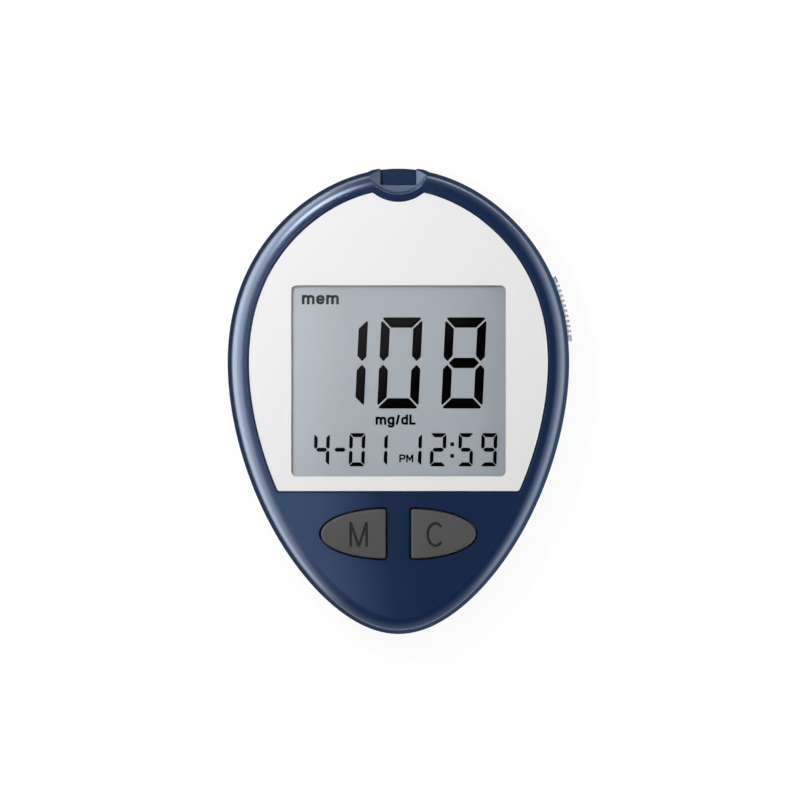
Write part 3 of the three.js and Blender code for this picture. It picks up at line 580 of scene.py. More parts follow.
# Painted shade: a darker grey for the outer faces of the knob's ribs, standing for the dark reflection at
# their tips.
knob_tip_shade = material("knob_tip_shade", (0.12, 0.125, 0.14), 0.5)
off_white = material("off_white", (0.75, 0.75, 0.71), 0.5)
black = material("black", (0.02, 0.02, 0.022), 0.5)
board_green = material("board_green", (0.02, 0.15, 0.07), 0.35)
key_grey = material("key_grey", (0.19, 0.19, 0.2), 0.65)
steel = material("steel", (0.62, 0.63, 0.65), 0.28, metallic=1.0, tone=0.03)
gold = material("gold", (0.8, 0.58, 0.25), 0.25, metallic=1.0, tone=0.03)
jacket_blue = material("jacket_blue", (0.03, 0.1, 0.26), 0.3, metallic=0.3)
jacket_silver = material("jacket_silver", (0.62, 0.63, 0.64), 0.3, metallic=0.9)
ink = material("ink", (0.0008, 0.0008, 0.001), 0.5, specular=0.0)
faded = material("faded", (0.03, 0.032, 0.036), 0.5, specular=0.1)
rim_grey = material("rim_grey", (0.5, 0.53, 0.57), 0.4)
clear = material("clear", (0.2, 0.21, 0.22), 0.03, others={"Alpha": 0.07})
display = material("display", (0.4, 0.44, 0.5), 0.3, bump=0.0)


def graded(made, way, start, end, stops):
    """Gives a material a colour that changes along way, from start to end, with stops of (share, colour)."""
    tree = made.node_tree
    place = next(node for node in tree.nodes if node.type == "TEX_COORD").outputs["Object"]
    along = added(tree, "VectorMath", {0: place, 1: way}, "DOT_PRODUCT").outputs["Value"]
    share = added(tree, "MapRange", {"From Min": start * MM, "From Max": end * MM, "Value": along})
    shade(tree, {"Base Color": ramp(tree, share.outputs["Result"], stops)})


# Painted light: the display's colour is lighter towards its left, where the light falls, and darker towards
# its right.
display_painted_light_tones = [(0, (0.6, 0.65, 0.7)), (0.25, (0.51, 0.553, 0.603)), (1, (0.485, 0.53, 0.585))]
graded(display, (1, 0, 0), WINDOW[0], WINDOW[1], display_painted_light_tones)
# Painted light: the silver plate is lighter towards its upper left and darker towards its lower right, as the
# light falls across it.
plate_painted_light_tones = [(0, (0.728, 0.729, 0.729)), (1, (0.845, 0.846, 0.846))]
graded(silver, (-0.8, 0.6, 0), -27.0, 33.0, plate_painted_light_tones)
# Painted light: the flat navy face is lighter towards its left and a little downwards, a painted glow of the
# light from that side.
face_painted_glow_tones = [(0, (0.006, 0.0195, 0.06)), (0.35, (0.0075, 0.022, 0.066)), (1, (0.035, 0.064, 0.138))]
graded(navy_face, (-1, -0.15, 0), 0.0, 18.0, face_painted_glow_tones)
# Painted sheen: the lens is hazier and lighter towards its upper left, where the light falls, and nearly
# clear towards its lower right.
lens_painted_sheen_tones = [(0, (0.005, 0.005, 0.006)), (1, (0.215, 0.215, 0.215))]
graded(clear, (-1, 1, 0), 0.0, 34.0, lens_painted_sheen_tones)


# Covers

def front_profile():
    """Section of the front cover as (inset, height): side, leaning band, crease and round shoulder."""
    edge = PARTING + GAP / 2
    points = [(PARTING_GROOVE, PARTING), (PARTING_GROOVE, edge), (0, edge)]
    points += [(0, CREASE - BAND_RISE), (CREASE_INSET, CREASE)]
    steps = 18
    for i in range(1, steps + 1):
        turn = SHOULDER_SLOPE * (1 - i / steps)
        inset = SHOULDER_INSET - SHOULDER_RADIUS * math.sin(turn)
        points.append((inset, FACE - SHOULDER_RADIUS * (1 - math.cos(turn))))
    reaches = [0, 0, 0.15, 0.6, 0.2] + [0] * steps
    return softened(points, reaches, 4)


def back_profile():
    """Section of the back cover: a quarter ellipse up to the side."""
    edge = PARTING - GAP / 2
    turns = [math.pi / 2 * i / 20 for i in range(21)]
    curve = [(BACK_INSET * (1 - math.sin(t)), BACK_RISE * (1 - math.cos(t))) for t in turns]
    points = curve + [(0, edge), (PARTING_GROOVE, edge), (PARTING_GROOVE, PARTING)]
    return softened(points, [0] * len(curve) + [0.15, 0, 0], 4)


def egg_solid(name, profile):
    return loft(name, [(egg_outline(inset), z) for inset, z in profile])


def flank_point(radius, angle):
    return (FLANK.x + radius * math.cos(angle), FLANK.y + radius * math.sin(angle))


def flank_band(name, inner, outer, start, end, bottom, top):
    return prism(name, arc(FLANK, outer, start, end, 24) + arc(FLANK, inner, end, start, 24), bottom, top)


def slider_cuts():
    """Recess with a rounded rim for the knob, and the slot for its stem."""
    gap_turn = GAP / FLANK_RADIUS
    start, end = KNOB_START - gap_turn, KNOB_END + TRAVEL + gap_turn
    box = (start * FLANK_RADIUS, end * FLANK_RADIUS, KNOB_LOW - GAP, KNOB_HIGH + GAP)
    rings = []
    for grow, radius in lip(FLANK_RADIUS - KNOB_SUNK - GAP, FLANK_RADIUS, RIM, reach=0.6):
        outline = spread(rectangle(box, 0.5, grow), 0.8)[::-1]
        rings.append([(*flank_point(radius, along / FLANK_RADIUS), z) for along, z in outline])
    inner = FLANK_RADIUS - WALL - KNOB_SUNK
    turns = (STEM[0] - gap_turn, STEM[1] + TRAVEL + gap_turn)
    slot = flank_band("slider_slot", inner, FLANK_RADIUS, *turns, KNOB_LOW + 1.0, KNOB_HIGH - 1.0)
    return [skin("slider_recess", rings), slot]


def spread(outline, longest):
    """Outline with points added on its long sides, so that no step is much longer than longest."""
    result = []
    for i, (x, y) in enumerate(outline):
        after = outline[(i + 1) % len(outline)]
        side = math.dist((x, y), after)
        parts = max(1, round(side / longest)) if side > 2 else 1
        shares = [part / parts for part in range(parts)]
        result += [(x + (after[0] - x) * share, y + (after[1] - y) * share) for share in shares]
    return result


def port_cuts():
    """Finger scoop, open notch and the slot that the strip passes through."""
    reach = 6.0
    profile = softened(
        [
            (BOWL_FLOOR, PORT_FLOOR),
            (BOWL_RADIUS, FACE - LIP_DEPTH),
            (SCOOP_RADIUS, FACE),
            (SCOOP_RADIUS + reach, FACE + reach * math.tan(LIP_SLOPE)),
            (SCOOP_RADIUS + reach, FACE + OVERRUN),
        ],
        (0, 0.9, 0.25, 0, 0),
    )
    scoop = turned("scoop", (0, SCOOP_Y, 0), profile, steps=144)
    box = (-PORT_HALF, PORT_HALF, PORT_INNER, HALF_LENGTH + OVERRUN)
    notch = prism("notch", rectangle(box), PORT_FLOOR, FACE + OVERRUN)
    low = (-STRIP_HALF, PORT_INNER - PORT_WALL - OVERRUN, PORT_FLOOR)
    slot = block("slot", low, (STRIP_HALF, PORT_INNER + OVERRUN, STRIP_TOP))
    return [scoop, notch, slot]


def front_cover():
    cavity = [(WALL, PARTING - OVERRUN), (WALL, CEILING - INNER_CHAMFER), (WALL + INNER_CHAMFER, CEILING)]
    piece = combined(egg_solid("front_shell", front_profile()), [egg_solid("cavity", cavity)])
    low = (-PORT_HALF - PORT_WALL, PORT_INNER - PORT_WALL, BOARD_TOP + GAP)
    high = (PORT_HALF + PORT_WALL, HALF_LENGTH - WALL, CEILING)
    joined = [block("port_block", low, high)]
    joined += [rod("boss", x, y, PARTING, CEILING, FRONT_BOSS) for x, y in SCREWS]
    for side in (1, -1):
        outline = [(side * x, y) for x, y in HORN][::side]
        leaning = [(x, y - HORN_LEAN) for x, y in outline]
        joined.append(loft("horn", zip((grown(outline, -0.1), outline, leaning), HORN_LEVELS)))
    combined(piece, joined, "UNION")
    cutters = [rod("bore", x, y, PARTING - OVERRUN, BORE_END, SHANK_BORE) for x, y in SCREWS]
    for side in (1, -1):
        hole = lambda g: button_outline(side, GAP + g)
        cutters.append(opening("button_hole", hole, CEILING - OVERRUN, FACE, 0.22))
    cutters.append(opening("plate_recess", lambda g: plate_outline(GAP + g), PLATE_SEAT, FACE, RIM))
    cutters.append(prism("lens_seat", rectangle(WINDOW, LENS_CORNER, LENS_LAP + GAP), LENS_SEAT, FACE))
    cutters.append(prism("window", rectangle(WINDOW, WINDOW_CORNER, GAP), CEILING - OVERRUN, FACE))
    combined(piece, cutters + port_cuts() + slider_cuts())
    evened(piece, egg_solid("even_front", front_profile()))
    painted(piece, [navy, navy_band, navy_low, navy_port, navy_face], front_finish)
    dressed(piece, navy, "root", "case_plastic", "front_cover")


def front_finish(face):
    """Finish of a face of the front cover: port scoop, horns, flat face, leaning band, side or shoulder."""
    x, y, z = face.center
    level = face.normal.z
    outward = Vector((x, y)).normalized().dot(Vector(face.normal).xy)
    in_bowl = math.dist(face.center.xy / MM, (0, SCOOP_Y)) < BOWL_RADIUS
    if in_bowl and face.normal.x * x <= 0 and 0.1 < level < 0.95:
        return navy_port
    if y > HORN_Y * MM and PORT_HALF < abs(x) / MM < HORN_X and 0 < level < 0.6:
        return navy_band
    if level > 0.9999 and abs(z / MM - FACE) < 0.01:
        return navy_face
    if z < CREASE * MM and outward > 0.3 and -0.02 < level < 0.3:
        return navy_band if level > 0.02 else navy_low
    return navy


def back_cover():
    cavity = [(WALL + BACK_INSET - FLOOR, FLOOR), (WALL + INNER_CHAMFER, FLOOR + INNER_CHAMFER)]
    cavity += [(WALL, BACK_RISE), (WALL, PARTING + OVERRUN)]
    piece = combined(egg_solid("back_shell", back_profile()), [egg_solid("cavity", cavity)])
    left, right, low, high = BAY
    hinge_y = DOOR[3]
    foot = (left - BAY_WALL, low - BAY_WALL, 0)
    joined = [block("bay", foot, (right + BAY_WALL, high + BAY_WALL, BOARD_BOTTOM))]
    joined += [rod("boss", x, y, FLOOR, PARTING, BACK_BOSS) for x, y in SCREWS]
    joined += [rod("post", side * POST[0], POST[1], FLOOR / 2, BOARD_BOTTOM, POST[2]) for side in (1, -1)]
    length, half, height = HINGE_BOSS
    for start, end in ((right, right + length), (left - length, left)):
        joined.append(block("hinge_boss", (start, hinge_y - half, FLOOR / 2), (end, hinge_y + half, height)))
    combined(piece, joined, "UNION")
    seat = (left - DOOR_LAP, right + DOOR_LAP, DOOR[2] - GAP, hinge_y + PIVOT_Z - DOOR_LOW + GAP)
    barrel_top = PIVOT_Z + BARREL_RADIUS
    cutters = [
        block("bay_room", (left, low, -OVERRUN), (right, high, BAY_ROOF)),
        opening("door_seat", lambda g: rectangle(seat, DOOR_CORNER, g), DOOR_HIGH + GAP, 0, RIM),
        block("pivot_room", (left, high - OVERRUN, -OVERRUN), (right, seat[3], barrel_top + GAP)),
        turned("pin_bore", (0, hinge_y, PIVOT_Z), [(PIN_BORE, left - 2.4), (PIN_BORE, right + 2.4)], "x", 32),
    ]
    for x, y in SCREWS:
        cutters.append(opening("head_bore", lambda g: circle(x, y, HEAD_BORE + g), SCREW_SEAT, 0, 0.25))
        cutters.append(rod("shank_bore", x, y, 0, PARTING + OVERRUN, SHANK_BORE))
    finger = [(6.0, -2), (6.0, -0.95), (5.0, -0.9), (2.5, 0.9)]
    cutters.append(turned("finger_notch", (0, DOOR[2], 0), finger, steps=96))
    tails = [(-1, y) for _, y in CELL_PLACES] + [(1, (low + high) / 2)]
    for side, y in tails:
        start, end = sorted((side * right, side * (right - CONTACT - GAP)))
        near = (start, y - TAIL_HALF - GAP, BAY_ROOF - GAP)
        cutters.append(block("tail_slot", near, (end, y + TAIL_HALF + GAP, BOARD_BOTTOM + OVERRUN)))
    combined(piece, cutters + slider_cuts())
    evened(piece, egg_solid("even_back", back_profile()))
    dressed(piece, navy_low, "root", "case_plastic", "back_cover")


def face_plate():
    piece = rounded_top("plate", plate_outline, PLATE_SEAT, PLATE_TOP, 0.18)
    window = lambda g: rectangle(WINDOW, WINDOW_CORNER, g)
    combined(piece, [opening("window", window, PLATE_SEAT - OVERRUN, PLATE_TOP, 0.15)])
    smoothed(piece)
    dressed(piece, silver, "root", "plate_silver", "face_plate")


def lens():
    outline = lambda g: rectangle(WINDOW, LENS_CORNER - GAP, LENS_LAP + g)
    piece = rounded_top("lens", outline, LENS_SEAT, LENS_TOP, 0.12)
    smoothed(piece)
    dressed(piece, clear, "root", "display_window", "display_lens")


# Buttons

def stroke(points, width, grow=0.0, cap=0.0):
    """Outline of a bent line of some width, with mitred bends, counterclockwise. cap lengthens both ends."""
    half = width / 2 + grow
    left, right = [], []
    for i, point in enumerate(points):
        here = Vector(point)
        ways = []
        if i > 0:
            ways.append((here - Vector(points[i - 1])).normalized())
        if i < len(points) - 1:
            ways.append((Vector(points[i + 1]) - here).normalized())
        along = sum(ways, Vector((0, 0))).normalized()
        across = Vector((-along.y, along.x))
        reach = half / max(across.dot(Vector((-ways[0].y, ways[0].x))), 0.2)
        end = Vector((0, 0))
        if i == 0:
            end = -along * (grow + cap)
        if i == len(points) - 1:
            end = along * (grow + cap)
        left.append(tuple(here + across * reach + end))
        right.append(tuple(here - across * reach + end))
    return right + left[::-1]


def letter_outline(letter, grow):
    """Plain M or C for the face of a button."""
    width = LETTER_WIDTH
    if letter == "C":
        turns = [math.radians(42 + (318 - 42) * i / 32) for i in range(33)]
        middle = [(C_X + 1.45 * math.cos(t), LETTER_Y + 2.1 * math.sin(t)) for t in turns]
        return stroke(middle, width, grow)
    side, half = 1.74, 2.3
    slant = width * 0.52
    lean = side - width / 2
    join = -half + 2 * half * (side - width - slant) / lean
    vee = -half + 2 * half * slant / lean
    right = [(slant, -half), (side - width, join), (side - width, -half), (side, -half), (side, half)]
    right += [(lean - slant, half), (0, vee)]
    points = right + [(-x, y) for x, y in reversed(right[:-1])]
    return [(x + M_X, y + LETTER_Y) for x, y in grown(points, grow)]


def button(side, letter, name, node, body):
    """Button with a flange inside the case, a crowned top and its letter engraved."""
    levels = [(FLANGE_WIDTH, FLANGE_BOTTOM), (FLANGE_WIDTH, FLANGE_TOP), (0, FLANGE_TOP)]
    crown = softened([(0, FLANGE_TOP), (0, BUTTON_TOP - 0.15), (-3.4, BUTTON_TOP)], (0, 0.5, 0))
    levels += crown[1:-1]
    inset, height = crown[-2]
    for share in (0.15, 0.3, 0.5, 0.75, 1):
        rise = math.sin(share * math.pi / 2)
        levels.append((inset + (crown[-1][0] - inset) * share, height + (BUTTON_TOP - height) * rise))
    piece = loft(name, [(button_outline(side, grow), z) for grow, z in levels])
    floor_z = BUTTON_TOP - ENGRAVING_DEPTH
    outline = lambda g: letter_outline(letter, g)
    combined(piece, [opening("engraving", outline, floor_z, BUTTON_TOP - 0.03, 0.06, 0.12)])

    def engraved(face):
        return face.normal.z > 0.99 and abs(face.center.z / MM - floor_z) < 0.02

    # The floor of the engraving is painted near-black: painted shade in the groove.
    painted(piece, [charcoal, engraving_shade_grey], lambda face: engraving_shade_grey if engraved(face) else charcoal)
    smoothed(piece, 40)
    dressed(piece, charcoal, body, "button_rubber", node)


# Ejector slider

def knob_outline(sink):
    """Knob in plan, with round ribs, drawn in by sink at its outer face and ends."""
    pitch, depth, count = 0.97 / FLANK_RADIUS, 0.4, 10
    flat, slope = 0.1, 0.16  # shares of the pitch
    start = KNOB_START + sink / FLANK_RADIUS
    end = KNOB_END - sink / FLANK_RADIUS
    middle = (KNOB_START + KNOB_END) / 2
    steps = 260
    points = []
    for i in range(steps + 1):
        angle = start + (end - start) * i / steps
        place = (angle - middle) / pitch + count / 2
        share = abs(place % 1 - 0.5)
        rise = min(max((2 * slope - share) / slope, 0), 1)
        if not 0 <= place <= count:
            past = -place if place < 0 else place - count
            rise = min(max((past - flat) / slope, 0), 1)
        rise = rise * rise * (3 - 2 * rise)
        points.append(flank_point(FLANK_RADIUS + KNOB_PROUD - sink - depth * (1 - rise), angle))
    return points + arc(FLANK, FLANK_RADIUS - KNOB_SUNK, end, start, 24)


def slider():
    radius = 0.55
    turns = [math.pi / 2 * i / 5 for i in range(6)]
    foot = [(radius * (1 - math.sin(t)), KNOB_LOW + radius * (1 - math.cos(t))) for t in turns]
    head = [(sink, KNOB_LOW + KNOB_HIGH - z) for sink, z in reversed(foot)]
    piece = loft("slider", [(knob_outline(sink), z) for sink, z in foot + head])
    outer = FLANK_RADIUS - WALL - 0.8
    inner = outer - 1.5
    reach = (inner + outer) / 2
    root = Vector(flank_point(reach, (RISER[0] + CARRIER[1]) / 2))
    along = (ARM_PIN - root).normalized()
    across = Vector((-along.y, along.x)) * ARM_HALF
    bend = math.atan2(along.y, along.x)
    arm = [tuple(root + across), tuple(root - across)]
    arm += arc(ARM_PIN, ARM_HALF, bend - math.pi / 2, bend + math.pi / 2, 24)
    inside = [
        flank_band("stem", reach, FLANK_RADIUS - 0.4, *STEM, 8.9, 12.1),
        flank_band("carrier", inner, outer, *CARRIER, 8.3, 12.7),
        flank_band("riser", inner + 0.2, outer - 0.2, *RISER, 12.1, ARM_TOP),
        prism("arm", arm, ARM_LOW, ARM_TOP),
        rod("arm_pin", *ARM_PIN, 14.9, ARM_TOP, 0.75),
    ]
    combined(piece, inside, "UNION")
    # The outermost faces of the ribs get the darker grey: painted shade at the rib tips.
    tip = FLANK_RADIUS + 0.5
    outside = lambda face: (face.center.xy / MM - FLANK).length > tip
    painted(piece, [knob_grey, knob_tip_shade], lambda face: knob_tip_shade if outside(face) else knob_grey)
    smoothed(piece, 40)
    dressed(piece, knob_grey, "ejector", "slider_plastic", "ejector_slider")


# Display marks: thin shapes just over the glass

INK_LOW = PANEL_TOP + 0.005
INK_HIGH = PANEL_TOP + 0.03
SEGMENTS = {"0": "abcdef", "1": "bc", "2": "abdeg", "4": "bcfg", "5": "acdfg", "8": "abcdefg"}
SEGMENTS.update({"9": "abcdfg", "-": "g"})
# Each digit with its left side, and the small ones with their width
LARGE_DIGITS = (("1", -13.9), ("0", -3.61), ("8", 8.47))
SMALL_DATE = (("4", -15.95, 2.95), ("-", -12.5, 2.95), ("0", -9.3, 3.0), ("1", -5.05, 3.0))
SMALL_TIME = (("1", 1.4, 3.0), ("2", 6.0, 3.0), ("5", 11.3, 2.8), ("9", 15.6, 3.0))
COLON = (-8.1, -10.3)


def segment(name, width, height, bar, gap):
    """One of seven strokes of a digit in a box of that width and height, from its lower left corner."""
    upright = bar * 0.875
    half = bar / 2
    middle = height / 2
    cut = gap * 0.7
    lead = upright - bar + cut
    large, small = bar * 0.42, bar * 0.05
    if name in "ad":
        points = [(lead, 0), (width - lead, 0), (width - upright - cut, bar), (upright + cut, bar)]
        reaches = [large, large, small, small]
    elif name == "g":
        start, full = bar * 0.52, bar * 1.02
        points = [(start, middle), (full, middle - half), (width - full, middle - half)]
        points += [(width - x, height - y) for x, y in points]
        reaches = [small] * 6
    else:
        tip = bar * 0.17
        points = [
            (0, bar - upright + cut),
            (upright, bar + cut),
            (upright, middle - half - tip * 1.2),
            (upright * 0.45, middle - tip),
            (0, middle - half - tip * 0.5),
        ]
        reaches = [large * 0.75, small, small, small, small]
    if name in "abf":
        points = [(x, height - y) for x, y in points]
    if name in "bc":
        points = [(width - x, y) for x, y in points]
    if (name in "abf") != (name in "bc"):
        points, reaches = points[::-1], reaches[::-1]
    return softened(points, reaches, 5)


def digit(sign, left, low, width, height, bar, gap, slant):
    """Segments of a digit as slanted outlines. A narrow 1 is drawn by its right strokes alone."""
    return [
        [(left + x + (y - height / 2) * slant, low + y) for x, y in segment(name, width, height, bar, gap)]
        for name in SEGMENTS[sign]
    ]


def marks(name, outlines, finish=ink, low=INK_LOW, high=INK_HIGH):
    """All outlines as one thin piece."""
    vertices, faces = [], []
    for outline in outlines:
        faces += closed(len(outline), 2, len(vertices))
        vertices += [(x, y, z) for z in (low, high) for x, y in outline]
    dressed(solid(name, vertices, faces), finish, "root", "black_plastic")


def display_digits():
    big = []
    for sign, left in LARGE_DIGITS:
        big += digit(sign, left, low=-1.36, width=7.8, height=17.21, bar=1.95, gap=0.3, slant=0.0475)
    small = [rectangle((9.8, 10.5, y - 0.35, y + 0.35)) for y in COLON]
    for sign, left, width in SMALL_DATE + SMALL_TIME:
        small += digit(sign, left, low=-12.27, width=width, height=6.27, bar=0.76, gap=0.14, slant=0.03)
    marks("digits_large", big)
    marks("digits_small", small)
    rims = [grown(outline, 0.14) for outline in big]
    marks("digits_rim", rims, rim_grey, PANEL_TOP + 0.001, INK_LOW - 0.001)


# Middle lines of plain letters: x height 1, capital height 1.4. Each line is (points, reaches of its bends).
BOWL = ([(0.8, 0.82), (0.62, 1), (0, 1), (0, 0), (0.62, 0), (0.8, 0.18)], [0, 0.15, 0.45, 0.45, 0.15, 0])
UPRIGHT = ([(0, 0), (0, 1.4)], [0, 0])
LETTERS = {
    "m": (
        1.45,
        ([(0, 0), (0, 1)], [0, 0]),
        ([(0, 0.6), (0.1, 1), (0.725, 1), (0.725, 0)], [0, 0.2, 0.35, 0]),
        ([(0.725, 0.6), (0.825, 1), (1.45, 1), (1.45, 0)], [0, 0.2, 0.35, 0]),
    ),
    "e": (
        0.85,
        ([(0, 0.5), (0.85, 0.5)], [0, 0]),
        ([(0.85, 0.5), (0.85, 1), (0, 1), (0, 0), (0.6, 0), (0.76, 0.1)], [0, 0.42, 0.42, 0.42, 0.1, 0]),
    ),
    "g": (0.8, ([(0.8, 1), (0.8, -0.5), (0.1, -0.5), (0.04, -0.36)], [0, 0.3, 0.15, 0]), BOWL),
    "/": (0.34, ([(0, 0), (0.34, 1.35)], [0, 0])),
    "d": (0.8, ([(0.8, 0), (0.8, 1.4)], [0, 0]), BOWL),
    "L": (0.7, ([(0, 1.4), (0, 0), (0.7, 0)], [0, 0, 0])),
    "P": (0.85, ([(0, 0), (0, 1.4), (0.85, 1.4), (0.85, 0.6), (0, 0.6)], [0, 0, 0.38, 0.38, 0])),
    "M": (
        1.0,
        UPRIGHT,
        ([(0.08, 1.3), (0.5, 0.4), (0.92, 1.3)], [0, 0, 0]),
        ([(1, 0), (1, 1.4)], [0, 0]),
    ),
}


def word(name, text, left, base, width, rise, weight, finish=ink, space=0.6):
    """Plain lettering: base and rise place the x height, and width is that of the whole word."""
    total = sum(LETTERS[letter][0] for letter in text) + space * (len(text) - 1)
    stretch = (width - weight) / total
    outlines = []
    place = 0
    for letter in text:
        across, *lines = LETTERS[letter]
        for points, reaches in lines:
            middle = [
                (left + weight / 2 + (place + x) * stretch, base + weight / 2 + y * (rise - weight))
                for x, y in softened(points, reaches, 5)
            ]
            outlines.append(stroke(middle, weight, cap=weight / 2))
        place += across + space
    marks(name, outlines, finish)


# Back and inside

def door():
    low, hinge_y = DOOR[2:]
    pairs = softened([(-1.0, DOOR_LOW), (0, DOOR_LOW), (0, DOOR_HIGH)], (0, RIM, 0))[1:]
    piece = loft("door", [(rectangle(DOOR, DOOR_CORNER, grow), z) for grow, z in pairs])
    barrel_end = -BAY[0] - GAP
    pin_end = -BAY[0] + PIN_LENGTH
    barrel = [(BARREL_RADIUS, -barrel_end), (BARREL_RADIUS, barrel_end)]
    joined = [
        turned("barrel", (0, hinge_y, PIVOT_Z), barrel, "x", 48),
        turned("pins", (0, hinge_y, PIVOT_Z), [(PIN_RADIUS, -pin_end), (PIN_RADIUS, pin_end)], "x", 32),
        block("latch", (-4, -5.45, DOOR_HIGH - 0.1), (4, -4.65, DOOR_HIGH + 2)),
    ]
    combined(piece, joined, "UNION")
    grips = []
    for i in range(1, GRIPS + 1):
        y = low + GRIP_PITCH * i
        box = (-GRIP_HALF, GRIP_HALF, y, y + GRIP_WIDTH)
        grips.append(opening("grip", lambda g: rectangle(box, 0.39, g), DOOR_LOW + 0.4, DOOR_LOW, 0.15))
    combined(piece, grips)
    smoothed(piece)
    dressed(piece, navy_low, "door", "case_plastic", "battery_door")


def screw(index, x, y):
    """Round-headed screw with a cross drive and a ridged shank."""
    seat, pitch, core, ridge = SCREW_SEAT, 0.8, 0.9, 1.1
    profile = [(1.2, 2.2), (1.7, 2.35), (1.93, 2.6), (2.0, 2.9), (2.0, seat), (core, seat)]
    for i in range(11):
        turn = seat + pitch * i
        profile += [(core, turn + 0.4), (ridge, turn + 0.6), (core, turn + 0.8)]
    profile.append((0.3, seat + 10))
    piece = turned("screw_%d" % index, (x, y, 0), profile, steps=48)
    arms = []
    for across, along in ((0.3, 1.2), (1.2, 0.3)):
        arms.append(block("drive", (x - across, y - along, 0), (x + across, y + along, 2.9)))
    combined(piece, arms)
    smoothed(piece)
    dressed(piece, steel, "root", "steel", "case_screw_%d" % index)


def cell(index, side, y):
    """Battery cell with a jacket, bare steel ends and a round nub."""
    nub_tip = -BAY[0] - NUB_GAP
    back = nub_tip - CELL_LENGTH
    shoulder = nub_tip - 1.0
    r = CELL_RADIUS
    profile = [(r - 1.2, back), (r - 0.9, back + 0.15), (r - 0.35, back + 0.15), (r, back + 0.5)]
    profile += [(r, back + 3.5), (r, shoulder - 10), (r, shoulder - 0.6), (r - 0.4, shoulder - 0.1)]
    profile += [(r - 0.9, shoulder), (1.95, shoulder), (1.9, shoulder + 0.2), (1.9, nub_tip - 0.25)]
    profile.append((1.6, nub_tip))
    if side < 0:
        profile = [(radius, -along) for radius, along in reversed(profile)]
    piece = turned("cell_%d" % index, (0, y, CELL_HEIGHT), profile, "x")

    def finish_of(face):
        outside = Vector(face.normal).yz.length > 0.9
        blue = outside and back + 0.6 < face.center.x * side / MM < shoulder - 10
        return jacket_blue if blue else jacket_silver

    painted(piece, [jacket_silver, jacket_blue], finish_of)
    smoothed(piece, 40)
    dressed(piece, jacket_blue, "root", "cell_jacket", "battery_%d" % index)


def spring(index, side, y):
    """Conical spring of round wire from its plate to the flat end of a cell."""
    wire, turns, wide, narrow = 0.3, 4, 3.4, 2.2
    start = CONTACT + GAP + wire + BAY[0]
    end = -BAY[0] - NUB_GAP - CELL_LENGTH - GAP - wire
    steps, sides = turns * 40, 12
    rings = []
    for i in range(steps + 1):
        share = i / steps
        angle = share * turns * 2 * math.pi
        radius = wide + (narrow - wide) * share
        outward = Vector((0, math.cos(angle), math.sin(angle)))
        middle = Vector((side * (start + (end - start) * share), y, CELL_HEIGHT)) + outward * radius
        ring = []
        for j in range(sides):
            turn = 2 * math.pi * j / sides * side
            across = outward * math.cos(turn) + Vector((1, 0, 0)) * math.sin(turn)
            ring.append(tuple(middle + across * wire))
        rings.append(ring[::-1])
    piece = skin("spring_%d" % index, rings)
    piece.data.shade_smooth()
    piece.data.set_sharp_from_angle(angle=math.radians(50))
    dressed(piece, steel, "root", "steel", "battery_spring_%d" % index)


def dome(side, name, node):
    """Rubber dome under a button, in its resting shape."""
    wall, foot, head, top = 0.6, 3.4, 2.2, FLANGE_BOTTOM
    middle = (side * DOME_X, BUTTON_Y, 0)
    outer = softened([(foot, DOME_FOOT), (head, top), (0.4, top)], (0, 0.35, 0), 5)[:-1]
    inner = [(foot - wall, DOME_FOOT - 1), (foot - wall, DOME_FOOT), (head - wall, top - wall)]
    piece = turned(name, middle, [(foot - wall, DOME_FOOT)] + outer, steps=48)
    combined(piece, [turned("hollow", middle, inner, steps=48)])
    smoothed(piece)
    dressed(piece, key_grey, "root", "keypad_rubber", node)
    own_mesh(piece)


def fine_cad(names, finish, width=0.12):
    """CAD pieces that keep their solids: broken edges and a finish."""
    for name in names:
        piece = nodes[name]
        piece.data.materials.clear()
        piece.data.materials.append(finish)
        piece.data.shade_smooth()
        edges = piece.modifiers.new("edges", "BEVEL")
        edges.width = width * MM
        edges.segments = 2
        edges.limit_method = "ANGLE"
        edges.angle_limit = math.radians(40)
        edges.harden_normals = True


# Build

front_cover()
back_cover()
face_plate()
lens()
button(-1, "M", "button_memory", "memory_button", "memory_key")
button(1, "C", "button_clear", "clear_button", "clear_key")
slider()
display_digits()
word("word_memory", "mem", -18.22, 18.3, 6.98, 1.78, 0.5, faded)
word("word_unit", "mg/dL", -4.31, -4.42, 7.56, 1.51, 0.42)
word("word_afternoon", "PM", 0.15, -11.51, 2.67, 1.15, 0.31, space=0.4)
door()
for number, (screw_x, screw_y) in enumerate(SCREWS, 1):
    screw(number, screw_x, screw_y)
for number, (nub_side, cell_y) in enumerate(CELL_PLACES, 1):
    cell(number, nub_side, cell_y)
    spring(number, nub_side, cell_y)
dome(-1, "dome_memory", "memory_dome")
dome(1, "dome_clear", "clear_dome")

fine_cad(["lcd_holder", "strip_pusher"], off_white)
fine_cad(["lcd_panel"], display, 0.05)
fine_cad(["strip_connector", "processor_chip", "buzzer_disc"], black)
fine_cad(["main_board"], board_green, 0.05)
fine_cad(["lcd_connector", "keypad_mat"], key_grey)
fine_cad(["clock_crystal", "guide_pin_left", "guide_pin_right"], steel)
fine_cad(["battery_contact_1", "battery_contact_2", "battery_bridge"], steel, 0.05)
fine_cad(["strip_contact_%d" % i for i in range(1, 5)], gold, 0.05)


# Floor, lights and camera, in metres

